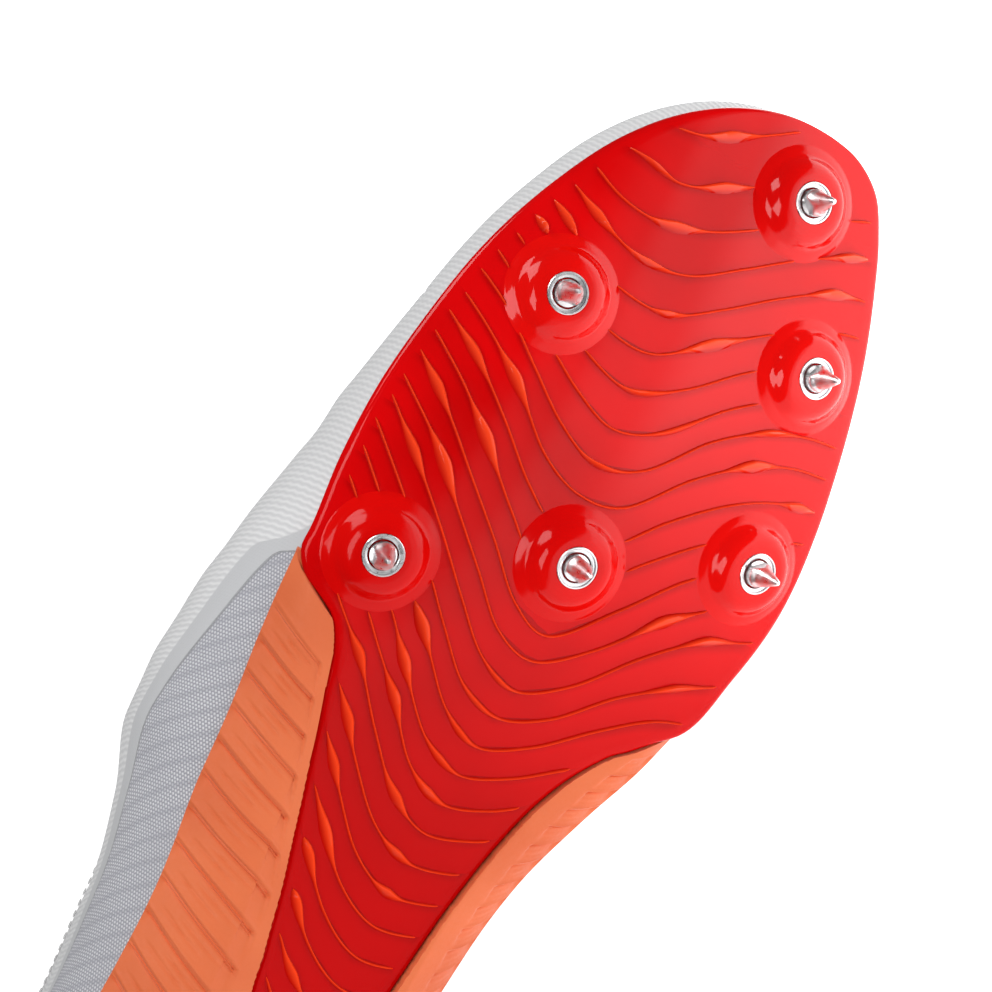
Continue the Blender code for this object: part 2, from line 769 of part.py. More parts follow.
def make_eyestay():
    """Overlay round the throat, cut from the upper's own surface and laid just over it."""
    maker = bmesh.new()
    front = EYESTAY.column("share")[-1]
    shares = [s for s in upper_shares() if THROAT_TOP - MERGE < s < front] + [front]
    for side in SIDES:
        lines = []
        for share in shares:
            low = EYESTAY.read("low", share)
            rises = [low + (1.0 - low) * place for place in EYESTAY_PLACES]
            lines.append([off_upper(side, share, rise, GAP) for rise in rises])
        add_grid(maker, lines)
    eyestay = finish("eyestay", maker, FILM_GREY, crease=50.0)
    face_out(eyestay)
    thicken(eyestay, EYESTAY_THICKNESS, outward=True)
    return eyestay


def tongue_line(share):
    """Points across the tongue at one line of the upper, under its wall and over the foot."""
    sink = TONGUE_DIP * between(share, TONGUE_SINK, VAMP_POINT)
    depth = -(WALL + 2 * GAP + sink)
    sides = {}
    for side in SIDES:
        sides[side] = [off_upper(side, share, rise, depth) for rise in TONGUE_RISES]
    left, right = sides["lateral"][-1], sides["medial"][-1]
    arch = UP * TONGUE_ARCH * (left - right).length
    bridge = [left.lerp(right, t) + arch * 4 * t * (1 - t) for t in TONGUE_BRIDGE]
    return sides["lateral"] + bridge + sides["medial"][::-1]


def make_tongue():
    """Padded tongue; its tip rises out of the throat, tapers and bends back."""
    maker = bmesh.new()
    top = tongue_line(TONGUE_TOP)
    middle = (top[0].y + top[-1].y) / 2
    lines = []
    for out, narrow, drop in TONGUE_TIP:
        shift = Vector((-TONGUE_RISE, 0.0, TONGUE_RISE)) * out - UP * drop * TONGUE_OVERRUN
        narrowed = [Vector((p.x, middle + (p.y - middle) * narrow, p.z)) + shift for p in top]
        lines.append(narrowed)
    lines.append(top)
    for share in np.linspace(TONGUE_START, TONGUE_FRONT, 9):
        lines.append(tongue_line(share))
    add_grid(maker, lines)
    tongue = finish("tongue", maker, LINING_GREY, crease=60.0)
    face_out(tongue)
    thicken(tongue, TONGUE_THICKNESS, outward=False)
    return tongue


def make_insole():
    inset = FEATHER_INSET + WALL + INSOLE_CLEARANCE

    def under(x, y):
        return bed(x, y) + WALL + 2 * GAP

    def over(x, y):
        return under(x, y) + INSOLE_THICKNESS

    return lens("insole", SOLE, upper_shares(), inset, INSOLE_PLACES, under, over, LINING_GREY)


def lace_bar(name, from_side, from_share, to_share, lift):
    """Flat lace from an eyelet on one side, over both edges of the throat, to the other side."""
    to_side = "medial" if from_side == "lateral" else "lateral"
    clear = GAP + EYESTAY_THICKNESS + LACE_CLEARANCE + lift
    near = from_share + LACE_LEAVE * (to_share - from_share)
    far = to_share - LACE_LEAVE * (to_share - from_share)
    ends = [
        off_upper(from_side, from_share, EYELET_RISE, clear),
        off_upper(from_side, near, LACE_RISE, clear),
        off_upper(to_side, far, LACE_RISE, clear),
        off_upper(to_side, to_share, EYELET_RISE, clear),
    ]
    arch = UP * (ends[1] - ends[2]).length * LACE_ARCH
    crest = (ends[1] + ends[2]) / 2 + arch
    knots = [ends[0], ends[1], crest, ends[2], ends[3]]
    path = open_curve(knots, LACE_STEPS)
    slope = edge_point(from_side, from_share + STEP) - edge_point(from_side, from_share - STEP)
    slope += edge_point(to_side, to_share + STEP) - edge_point(to_side, to_share - STEP)
    maker = bmesh.new()
    loops = []
    for i, point in enumerate(path):
        ahead = (path[min(i + 1, len(path) - 1)] - path[max(i - 1, 0)]).normalized()
        face = ahead.cross(slope).normalized()
        face = face if face.z > 0 else -face
        edge = face.cross(ahead).normalized() * LACE_WIDTH / 2
        thick = face * LACE_THICKNESS
        loops.append([point - edge, point + edge, point + edge + thick, point - edge + thick])
    rows = add_grid(maker, loops, closed=True)
    maker.faces.new(rows[0])
    maker.faces.new(rows[-1])
    return finish(name, maker, LACE_WHITE)


def open_curve(knots, steps):
    """Smooth open curve through the knots."""
    padded = [knots[0] * 2 - knots[1]] + knots + [knots[-1] * 2 - knots[-2]]
    points = []
    for i in range(1, len(padded) - 2):
        p0, p1, p2, p3 = padded[i - 1: i + 3]
        square = p0 * 2 - p1 * 5 + p2 * 4 - p3
        cube = p1 * 3 - p0 - p2 * 3 + p3
        for t in np.arange(steps) / steps:
            points.append((p1 * 2 + (p2 - p0) * t + square * t * t + cube * t ** 3) / 2)
    return points + [knots[-1]]


def make_laces():
    """Crossings over the tongue, joined where they meet; the ends stop at the top eyelets."""
    shares = np.linspace(LACE_TOP, LACE_FRONT, EYELET_ROWS)
    laces = lace_bar("laces", "lateral", shares[-1], shares[-1], 0.0)
    for i in range(EYELET_ROWS - 1):
        over = lace_bar(f"over_{i}", "lateral", shares[i + 1], shares[i], LACE_STEP)
        under = lace_bar(f"under_{i}", "medial", shares[i + 1], shares[i], 0.0)
        combine(laces, hidden(over), "UNION")
        combine(laces, hidden(under), "UNION")
    return laces


def resting_turn(points, centre):
    """Rotation that lays down the facet of the hull on which the medial side rests."""
    hull = bmesh.new()
    for point in points:
        hull.verts.new(point)
    bmesh.ops.convex_hull(hull, input=hull.verts)
    bmesh.ops.recalc_face_normals(hull, faces=hull.faces)
    best = None
    for face in hull.faces:
        normal = face.normal
        if normal.y < MEDIAL_FACING:
            continue
        foot = centre - normal * (centre - face.verts[0].co).dot(normal)
        corners = [v.co for v in face.verts]
        slack = LENGTH
        for a, b in zip(corners, corners[1:] + corners[:1]):
            slack = min(slack, (b - a).normalized().cross(foot - a).dot(normal))
        if best is None or slack > best[0]:
            best = (slack, normal.copy())
    hull.free()
    lay = best[1].rotation_difference(-UP).to_matrix()
    forward = lay @ Vector((1.0, 0.0, 0.0))
    return Matrix.Rotation(-math.atan2(forward.y, forward.x), 3, "Z") @ lay


def weighted_points(pieces):
    """All corner points of the pieces and the centre of their surface, weighted by heaviness."""
    bpy.context.view_layer.update()
    graph = bpy.context.evaluated_depsgraph_get()
    points = []
    total = 0.0
    moment = Vector()
    for piece, weight in pieces:
        evaluated = piece.evaluated_get(graph)
        mesh = evaluated.to_mesh()
        place = piece.matrix_world
        points += [place @ v.co for v in mesh.vertices]
        for face in mesh.polygons:
            total += face.area * weight
            moment += (place @ face.center) * face.area * weight
        evaluated.to_mesh_clear()
    return points, moment / total


def lay_down(pieces):
    """Parent every piece to an empty that lies the shoe on its medial side, bottom centre at zero."""
    points, centre = weighted_points(pieces)
    turn = resting_turn(points, centre)
    turned = np.array([turn @ p for p in points])
    low = turned.min(axis=0)
    high = turned.max(axis=0)
    shift = Vector((-(low[0] + high[0]) / 2, -(low[1] + high[1]) / 2, -low[2]))
    holder = bpy.data.objects.new("shoe_placement", None)
    bpy.context.collection.objects.link(holder)
    holder.matrix_world = Matrix.Translation(shift) @ turn.to_4x4()
    for made in bpy.data.objects:
        if made.type == "MESH":
            place = made.matrix_world.copy()
            made.parent = holder
            made.matrix_parent_inverse.identity()
            made.matrix_basis = place
    bpy.context.view_layer.update()
    return holder


def build():
    pieces = [make_plate(), make_midsole(), make_upper(), make_insole(), make_tongue()]
    weighted = [(piece, HEAVY[piece.name]) for piece in pieces]
    weighted += [(make_eyestay(), HEAVY_TRIM), (make_laces(), HEAVY_TRIM)]
    for number in SPIKES:
        weighted += [(make_seat(number), HEAVY_STEEL), (make_spike(number), HEAVY_STEEL)]
    return lay_down(weighted)


HOLDER = build()
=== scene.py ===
# %% [markdown]
# # A track spike shoe
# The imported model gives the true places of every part. This lesson dresses it: each visible
# piece is built again as a fine surface from the same sizes, and gets its own material.
# Everything is worked out in the shoe's own frame first: x runs from the heel to the toe,
# y from the lateral side to the medial side, and z up. At the end it is laid on its side.

import math

import bmesh
import bpy
import numpy as np
from mathutils import Matrix, Vector
from mathutils.kdtree import KDTree


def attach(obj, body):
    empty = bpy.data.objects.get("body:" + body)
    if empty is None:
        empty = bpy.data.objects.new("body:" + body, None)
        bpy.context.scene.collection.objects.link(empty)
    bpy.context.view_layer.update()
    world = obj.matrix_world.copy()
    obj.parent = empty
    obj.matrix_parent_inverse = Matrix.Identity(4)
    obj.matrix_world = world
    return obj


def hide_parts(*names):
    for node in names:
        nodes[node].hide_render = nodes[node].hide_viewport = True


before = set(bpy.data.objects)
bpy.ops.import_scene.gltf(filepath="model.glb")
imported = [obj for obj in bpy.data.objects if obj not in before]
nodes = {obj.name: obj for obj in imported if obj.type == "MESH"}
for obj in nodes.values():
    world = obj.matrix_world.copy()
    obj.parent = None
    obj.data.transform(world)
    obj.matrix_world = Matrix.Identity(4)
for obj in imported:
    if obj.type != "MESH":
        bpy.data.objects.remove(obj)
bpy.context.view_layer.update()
print("nodes:", sorted(nodes))

# %% [markdown]
# ## Sizes
# These are the sizes of the real shoe, in metres, as the solids have them. A shape that
# follows a rule is then a short function of these, so nothing has to be fitted by eye.

# %% Driving sizes
MM = 0.001
LENGTH = 0.285
BALL_WIDTH = 0.099
HEEL_WIDTH = 0.066
WIDTH_FROM = 0.20
WIDTH_TO = 0.68
TOE_SPRING = 0.017
HEEL_STACK = 0.0125
CROWN_RADIUS = 0.190
PLATE_THICKNESS = 0.0020
TAIL_RECESS = 0.0015
FOAM_EDGE = 0.0011
FEATHER_INSET = 0.0014
RAIL_RUN = 0.0150
RAIL_BULGE = 0.0016
RIB_SLANT = 0.0080
HEEL_HEIGHT = 0.063
INSTEP_HEIGHT = 0.071
TOE_HEIGHT = 0.040
THROAT_WIDTH = 0.048
COLLAR_WIDTH = 0.060
WALL = 0.0016
INSOLE_THICKNESS = 0.0030
LACE_WIDTH = 0.0060
DOME_HEIGHT = 0.0038
SEAT_HEIGHT = 0.0013
SEAT_RECESS = 0.0003
SEAT_RADIUS = 0.0042
SEAT_BORE = 0.0030
SPIKE_TURN = 0.9
GAP = 0.0003
STEP = 0.004
SIDES = {"lateral": -1.0, "medial": 1.0}
UP = Vector((0.0, 0.0, 1.0))

# %% [markdown]
# ## Charts of the last and the sole
# A shoe is drawn as a few curves by share of its length: the width of its sole, the lift of
# its underside and the height of its top edge. Each chart holds one of these, with a curve
# laid through the rows that never overshoots them.

# %% Reading a chart
def smooth(xs, ys, at):
    """Value at one place of a curve through the rows that never overshoots them."""
    steps = np.diff(xs)
    slopes = np.diff(ys) / steps
    tangents = np.zeros(len(xs))
    tangents[0], tangents[-1] = slopes[0], slopes[-1]
    for i in range(1, len(xs) - 1):
        if slopes[i - 1] * slopes[i] > 0:
            before = 2 * steps[i] + steps[i - 1]
            after = steps[i] + 2 * steps[i - 1]
            tangents[i] = (before + after) / (before / slopes[i - 1] + after / slopes[i])
    at = np.clip(at, xs[0], xs[-1])
    i = np.clip(np.searchsorted(xs, at) - 1, 0, len(xs) - 2)
    t = (at - xs[i]) / steps[i]
    rise = steps[i] * (t * (1 - t) ** 2 * tangents[i] - t * t * (1 - t) * tangents[i + 1])
    return ys[i] * (1 - t) ** 2 * (1 + 2 * t) + ys[i + 1] * t * t * (3 - 2 * t) + rise


def between(value, first, last):
    """How far a value is from the first to the last of two others, held at 0 and 1."""
    return np.clip((value - first) / (last - first), 0.0, 1.0)


def ease(value, first, last):
    """The same, leaving and arriving gently."""
    t = between(value, first, last)
    return t * t * (3 - 2 * t)


class Chart:
    """Rows of named columns; the first column is the share at which a row holds."""

    def __init__(self, columns, *rows):
        self.columns = columns.split()
        self.rows = np.array(rows)
        self.fine = np.linspace(self.rows[0, 0], self.rows[-1, 0], 1500)
        self.curves = {name: smooth(self.rows[:, 0], self.column(name), self.fine)
                       for name in self.columns[1:]}

    def column(self, name):
        return self.rows[:, self.columns.index(name)]

    def read(self, name, share):
        return np.interp(share, self.fine, self.curves[name])


# %% The charts
OUTER = Chart(
    "along lateral medial",
    (0.0035, 0.280, 0.270),
    (0.0175, 0.575, 0.550),
    (0.049, 0.835, 0.800),
    (0.105, 0.990, 0.940),
    (0.175, 1.015, 0.955),
    (0.263, 0.966, 0.850),
    (0.330, 0.937, 0.795),
    (0.386, 0.952, 0.785),
    (0.446, 0.963, 0.795),
    (0.504, 0.992, 0.860),
    (0.547, 1.010, 0.912),
    (0.585, 1.013, 0.938),
    (0.638, 1.018, 0.993),
    (0.691, 0.998, 1.008),
    (0.754, 0.960, 0.980),
    (0.813, 0.887, 0.915),
    (0.870, 0.760, 0.830),
    (0.9225, 0.588, 0.717),
    (0.958, 0.404, 0.622),
    (0.983, 0.195, 0.523),
    (0.9965, -0.006, 0.384),
)
TOE_TIP = 0.215
TAIL = Chart(
    "along lateral medial",
    (0.272, 0.110, 0.150),
    (0.285, 0.200, 0.245),
    (0.320, 0.255, 0.310),
    (0.366, 0.318, 0.350),
    (0.410, 0.395, 0.385),
    (0.451, 0.477, 0.420),
    (0.491, 0.558, 0.475),
    (0.527, 0.640, 0.560),
    (0.541, 0.700, 0.610),
    (0.550, 0.795, 0.650),
    (0.557, 0.875, 0.700),
    (0.572, 0.940, 0.790),
)
TAIL_END = (0.268, 0.01)
HORNS = {"lateral": 0.570, "medial": 0.594}
PROFILE = Chart(
    "along lift foam edge crown recess",
    (0.000, 0.240, 1.000, 1.0, 0.00, 1.0),
    (0.035, 0.050, 1.000, 1.0, 0.00, 1.0),
    (0.060, 0.000, 1.000, 1.0, 0.00, 1.0),
    (0.280, 0.000, 1.000, 1.0, 0.00, 1.0),
    (0.350, 0.130, 0.810, 1.0, 0.10, 1.0),
    (0.404, 0.224, 0.620, 1.0, 0.30, 1.0),
    (0.491, 0.188, 0.270, 1.0, 0.60, 0.8),
    (0.560, 0.075, 0.070, 1.0, 0.85, 0.1),
    (0.600, 0.025, 0.000, 1.0, 0.95, 0.0),
    (0.646, 0.000, 0.000, 0.0, 1.00, 0.0),
    (0.712, 0.047, 0.000, 0.0, 1.00, 0.0),
    (0.807, 0.260, 0.000, 0.0, 1.00, 0.0),
    (0.853, 0.410, 0.000, 0.0, 1.00, 0.0),
    (0.947, 0.765, 0.000, 0.0, 1.00, 0.0),
    (1.000, 1.000, 0.000, 0.0, 1.00, 0.0),
)
RAILS = Chart(
    "share lateral medial",
    (0.00, 0.55, 0.55),
    (0.25, 0.65, 0.60),
    (0.50, 0.95, 0.75),
    (0.75, 1.00, 0.80),
    (1.00, 0.62, 0.62),
)
TOP = Chart(
    "share along open height sway lean lateral medial",
    (0.00, 0.022, 0.00, 0.887, 0.00, 12, 14, 14),
    (0.04, 0.031, 0.333, 0.875, 0.00, 12, 14, 14),
    (0.09, 0.058, 0.667, 0.820, 0.00, 12, 15, 15),
    (0.16, 0.113, 0.917, 0.700, -0.01, 10, 18, 18),
    (0.24, 0.190, 1.000, 0.650, -0.03, 12, 24, 24),
    (0.32, 0.275, 1.056, 0.730, -0.06, 18, 30, 30),
    (0.38, 0.340, 1.046, 0.880, -0.08, 26, 36, 34),
    (0.43, 0.393, 1.000, 1.000, -0.14, 33, 46, 40),
    (0.52, 0.470, 0.833, 0.940, -0.09, 48, 36, 36),
    (0.56, 0.508, 0.729, 0.895, -0.05, 54, 26, 24),
    (0.60, 0.547, 0.625, 0.850, -0.01, 60, 13, 14),
    (0.66, 0.604, 0.500, 0.770, 0.03, 68, 5, 6),
    (0.69, 0.638, 0.396, 0.730, 0.05, 74, 4, 5),
    (0.715, 0.656, 0.00, 0.700, 0.06, 80, 4, 5),
    (0.80, 0.720, 0.00, 0.645, 0.09, 86, 9, 6),
    (0.88, 0.793, 0.00, 0.600, 0.14, 88, 17, 8),
    (0.94, 0.853, 0.00, 0.577, 0.18, 88, 22, 12),
    (1.00, 0.900, 0.00, 0.560, 0.20, 88, 16, 16),
)
COLLAR_WIDEST = 0.24
THROAT_TOP = 0.43
VAMP_POINT = 0.715
FOOT_HANDLE = 0.50
EDGE_HANDLE = 0.44
SPIKES = {
    1: (0.949, 0.220),
    2: (0.807, -0.541),
    3: (0.846, 0.572),
    4: (0.595, -0.673),
    5: (0.652, 0.018),
    6: (0.710, 0.741),
}


# %% [markdown]
# ## The outlines
# The edge of the sole and the edge of the moulded plate are closed curves seen from above.
# One could trace them with a curve object, but a small class that answers "which point is at
# this share of the lateral side" lets every later piece follow the same edge.

# %% Outlines of the sole and of the plate
def half_width(along):
    return 0.5 * (HEEL_WIDTH + (BALL_WIDTH - HEEL_WIDTH) * between(along, WIDTH_FROM, WIDTH_TO))


def loop_through(corners, steps=24):
    """Points of a smooth closed curve through the corners."""
    corners = np.array(corners)
    ahead = np.roll(corners, -1, axis=0) - corners
    spans = np.linalg.norm(ahead, axis=1)[:, None]
    rate = ahead / spans
    back_rate = np.roll(rate, 1, axis=0)
    back_span = np.roll(spans, 1, axis=0)
    tangents = (back_rate * spans + rate * back_span) / (spans + back_span)
    points = []
    for i, start in enumerate(corners):
        end = corners[(i + 1) % len(corners)]
        leave = tangents[i] * spans[i]
        arrive = tangents[(i + 1) % len(corners)] * spans[i]
        for t in np.arange(steps) / steps:
            point = start * (1 - t) ** 2 * (1 + 2 * t) + end * t * t * (3 - 2 * t)
            points.append(point + leave * t * (1 - t) ** 2 - arrive * t * t * (1 - t))
    return np.array(points), steps


class Outline:
    """Closed plan outline with a lateral and a medial side, read by share of each side's length."""

    def __init__(self, back_tip, front_tip, lateral, medial):
        points, steps = loop_through([back_tip] + lateral + [front_tip] + medial[::-1])
        turn = (len(lateral) + 1) * steps
        closed = np.vstack([points, points[:1]])
        self.paths = {"lateral": closed[: turn + 1], "medial": closed[turn:][::-1]}
        self.lengths = {}
        for side, path in self.paths.items():
            spans = np.linalg.norm(np.diff(path, axis=0), axis=1)
            self.lengths[side] = np.concatenate([[0.0], np.cumsum(spans)])

    def length(self, side):
        return self.lengths[side][-1]

    def point(self, side, share):
        run = self.lengths[side]
        at = min(max(share, 0.0), 1.0) * run[-1]
        path = self.paths[side]
        return Vector((np.interp(at, run, path[:, 0]), np.interp(at, run, path[:, 1]), 0.0))

    def outward(self, side, share):
        if share <= 0.0:
            return Vector((-1.0, 0.0, 0.0))
        if share >= 1.0:
            return Vector((1.0, 0.0, 0.0))
        run = self.point(side, share + STEP) - self.point(side, share - STEP)
        return Vector((run.y, -run.x, 0.0)).normalized() * -SIDES[side]

    def inset(self, side, share, distance):
        return self.point(side, share) - self.outward(side, share) * distance

    def share_at(self, side, x):
        path = self.paths[side]
        middle = slice(len(path) // 8, len(path) - len(path) // 8)
        return float(np.interp(x, path[middle, 0], self.lengths[side][middle]) / self.length(side))


def outline_rows(chart, side, first, half):
    rows = zip(chart.column("along"), chart.column(side))
    return [(a * LENGTH, SIDES[side] * w * half(a)) for a, w in rows if a > first]


SOLE = Outline(
    (0.0, 0.0),
    (LENGTH, TOE_TIP * BALL_WIDTH / 2),
    *[outline_rows(OUTER, side, 0.0, half_width) for side in SIDES],
)
PLATE = Outline(
    (TAIL_END[0] * LENGTH, TAIL_END[1] * BALL_WIDTH),
    (LENGTH, TOE_TIP * BALL_WIDTH / 2),
    *[
        outline_rows(TAIL, side, 0.0, lambda along: BALL_WIDTH / 2)
        + outline_rows(OUTER, side, TAIL.column("along")[-1] + 0.005, half_width)
        for side in SIDES
    ],
)
print("edge of the sole in mm:", [round(1000 * SOLE.length(side)) for side in SIDES])


# %% Heights of the sole
def ground(x, y):
    """Height of the sole's underside: toe spring, arch and cross crown."""
    along = x / LENGTH
    crown = PROFILE.read("crown", along) * y * y / (2 * CROWN_RADIUS)
    return TOE_SPRING * PROFILE.read("lift", along) + crown


def plate_under(x, y):
    return ground(x, y) + TAIL_RECESS * PROFILE.read("recess", x / LENGTH)


def bed(x, y):
    """Height of the upper's underside: ground, plate and foam."""
    along = x / LENGTH
    foam = HEEL_STACK - PLATE_THICKNESS - FOAM_EDGE - GAP
    over_plate = FOAM_EDGE * PROFILE.read("edge", along) + foam * PROFILE.read("foam", along)
    recess = TAIL_RECESS * PROFILE.read("recess", along) * (1.0 - PROFILE.read("foam", along))
    return ground(x, y) + PLATE_THICKNESS + GAP + over_plate + recess


def at_height(point, height):
    return Vector((point.x, point.y, float(height(point.x, point.y))))


def plate_slopes(x, y, step):
    """Slopes of the plate's underside along the shoe and across it."""
    slope_x = (plate_under(x + step, y) - plate_under(x - step, y)) / (2 * step)
    slope_y = (plate_under(x, y + step) - plate_under(x, y - step)) / (2 * step)
    return slope_x, slope_y


def spike_place(number):
    """Matrix on the plate under a spike's dome, with z along the spike, out of the plate."""
    along, across = SPIKES[number]
    x = along * LENGTH
    y = across * BALL_WIDTH / 2
    slope_x, slope_y = plate_slopes(x, y, STEP * LENGTH)
    out = Vector((slope_x, slope_y, -1.0)).normalized()
    forward = Vector((1.0, 0.0, slope_x))
    side = out.cross(forward).normalized()
    turn = Matrix((side.cross(out), side, out)).transposed().to_4x4()
    return Matrix.Translation((x, y, float(plate_under(x, y)))) @ turn


# %% [markdown]
# ## Laying the shoe down
# The solids lie on their medial side. The six steel seats are round and their places are
# known in the shoe's frame, so the turn that takes the six known places to the six packed
# rings is the turn of the whole shoe. A least squares fit of two sets of points gives it.

# %% The turn from the shoe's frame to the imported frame
def ring_centre(node):
    corners = {tuple(round(c, 6) for c in v.co) for v in nodes[node].data.vertices}
    return np.mean(np.array(sorted(corners)), axis=0)


def best_turn(known, packed):
    """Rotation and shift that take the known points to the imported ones."""
    middle, target = known.mean(axis=0), packed.mean(axis=0)
    u, _, vt = np.linalg.svd((known - middle).T @ (packed - target))
    flip = np.diag([1.0, 1.0, np.sign(np.linalg.det(vt.T @ u.T))])
    turn = vt.T @ flip @ u.T
    return Matrix.Translation(target - turn @ middle) @ Matrix(turn.tolist()).to_4x4()


low, face = DOME_HEIGHT - SEAT_HEIGHT, DOME_HEIGHT - SEAT_RECESS
ring_height = Vector((0.0, 0.0, (2 * low + face + DOME_HEIGHT) / 4))
known = np.array([spike_place(number) @ ring_height for number in SPIKES])
packed = np.array([ring_centre(f"spike_seat_{number}") for number in SPIKES])
LAY = best_turn(known, packed)
misfit = max((LAY @ Vector(a) - Vector(b)).length for a, b in zip(known, packed))
print("largest misfit of the seats in mm:", round(1000 * misfit, 4))

# %% [markdown]
# ## The camera
# The picture looks up at the sole from its lateral side, with the shoe turned so that the toe
# points up and to the right. The camera is placed in the shoe's frame by three angles and a
# distance, and then turned with the shoe. Because the shoe lies on its side, this camera
# stands in front of the sole, a little above the floor.

# %% The camera
LATERAL_TILT = math.radians(22.8)
TOE_TILT = math.radians(1.0)
ROLL = math.radians(30.5)
DISTANCE = 0.750
TARGET = Vector((0.190, -0.0199, 0.0))
FOCAL_PIXELS = 3900.0
PICTURE_PIXELS = 992.0
SENSOR = 36.0


def camera_place():
    towards = Vector((
        math.sin(TOE_TILT),
        -math.sin(LATERAL_TILT) * math.cos(TOE_TILT),
        -math.cos(LATERAL_TILT) * math.cos(TOE_TILT),
    )).normalized()
    toe = Vector((1.0, 0.0, 0.0))
    toe = (toe - towards * towards.x).normalized()
    medial = towards.cross(toe)
    medial = medial if medial.y > 0 else -medial
    right = math.sin(ROLL) * toe + math.cos(ROLL) * medial
    up = math.cos(ROLL) * toe - math.sin(ROLL) * medial
    turn = Matrix((right, up, towards)).transposed().to_4x4()
    return LAY @ Matrix.Translation(TARGET + towards * DISTANCE) @ turn


camera_data = bpy.data.cameras.new("camera")
camera_data.sensor_width = SENSOR
camera_data.lens = SENSOR * FOCAL_PIXELS / PICTURE_PIXELS
camera_data.clip_start = 0.01
camera = bpy.data.objects.new("camera", camera_data)
bpy.context.collection.objects.link(camera)
camera.matrix_world = camera_place()
bpy.context.scene.camera = camera
bpy.context.scene.view_settings.view_transform = "Standard"
print("camera at", [round(c, 3) for c in camera.location])


# %% [markdown]
# ## Helpers for meshes
# Nearly every piece is a grid of points: so many lines, so many points on each. The grid is
# made straight from arrays, which is quick, and it can carry a UV map in metres, so that a
# knit or a weave keeps its real scale however the surface bends.

# %% Grids of points
def place_object(name, data):
    """New object in the scene, at the origin and unturned."""
    made = bpy.data.objects.new(name, data)
    bpy.context.collection.objects.link(made)
    return made


def run_lengths(points):
    """Length run so far at each point of a line."""
    return np.concatenate([[0.0], np.cumsum([(b - a).length for a, b in zip(points, points[1:])])])


def store_numbers(mesh, name, values):
    """Keep one number, or one vector, for each point of a mesh."""
    vector = isinstance(values[0], Vector)
    layer = mesh.attributes.new(name, "FLOAT_VECTOR" if vector else "FLOAT", "POINT")
    layer.data.foreach_set("vector" if vector else "value", np.array(values).ravel())


def nearest_spots(made, spots):
    """For each point of a finished piece, the number of the spot that lies nearest."""
    tree = KDTree(len(spots))
    for i, spot in enumerate(spots):
        tree.insert(spot, i)
    tree.balance()
    return [tree.find(vert.co)[1] for vert in made.data.vertices]


def grid_mesh(name, points, uv=None, closed=False, merge=0.00001, outward=None, recalc=True):
    """Object from an array of lines of points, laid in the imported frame."""
    points = np.asarray(points, dtype=float)
    lines, count = points.shape[:2]
    verts = points.reshape(-1, 3)
    faces = []
    for i in range(lines - 1):
        for j in range(count if closed else count - 1):
            k = (j + 1) % count
            faces.append((i * count + j, i * count + k, (i + 1) * count + k, (i + 1) * count + j))
    mesh = bpy.data.meshes.new(name)
    mesh.from_pydata(verts.tolist(), [], faces)
    if uv is not None:
        layer = mesh.uv_layers.new(name="metres")
        flat = np.asarray(uv, dtype=float).reshape(-1, 2)
        indices = np.empty(len(mesh.loops), dtype=np.int64)
        mesh.loops.foreach_get("vertex_index", indices)
        layer.data.foreach_set("uv", flat[indices].ravel())
    return settle(name, mesh, merge, outward, recalc)


def settle(name, mesh, merge=0.00001, outward=None, recalc=True):
    """Merge doubles, point the faces out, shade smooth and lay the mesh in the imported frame."""
    maker = bmesh.new()
    maker.from_mesh(mesh)
    bmesh.ops.remove_doubles(maker, verts=maker.verts, dist=merge)
    bmesh.ops.dissolve_degenerate(maker, edges=maker.edges, dist=merge / 4)
    if recalc:
        bmesh.ops.recalc_face_normals(maker, faces=maker.faces)
    if outward is not None:
        votes = sum((f.calc_center_median() - Vector(outward)).dot(f.normal) * f.calc_area()
                    for f in maker.faces)
        if votes < 0:
            bmesh.ops.reverse_faces(maker, faces=maker.faces)
    maker.to_mesh(mesh)
    maker.free()
    mesh.shade_smooth()
    mesh.transform(LAY)
    return place_object(name, mesh)


def turned_points(profile, segments, flat=None):
    """Rings of points about the z axis; flat is (low, high, half width) of two wrench flats."""
    rings = []
    for radius, height in profile:
        ring = []
        for i in range(segments):
            turn = 2 * math.pi * i / segments
            across = radius * math.sin(turn)
            if flat and flat[0] <= height <= flat[1]:
                across = min(max(across, -flat[2]), flat[2])
            ring.append(Vector((radius * math.cos(turn), across, height)))
        rings.append(ring)
    return rings


def keep_sharp(made, degrees):
    """Shade smooth, but leave edges sharp where faces meet more steeply than this."""
    made.data.set_sharp_from_angle(angle=math.radians(degrees))


def dress(made, material, body="root", stands_for=()):
    """Give a finished piece its material, its body and the nodes that it stands for."""
    made.data.materials.clear()
    made.data.materials.append(material)
    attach(made, body)
    if stands_for:
        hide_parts(*stands_for)
    print(made.name, len(made.data.polygons), "faces")
    return made


# %% [markdown]
# ## Helpers for materials
# A material is a small tree of nodes. These helpers add a node with its settings, wire two
# sockets, and blend or bump, so that each finish below reads as a short recipe.

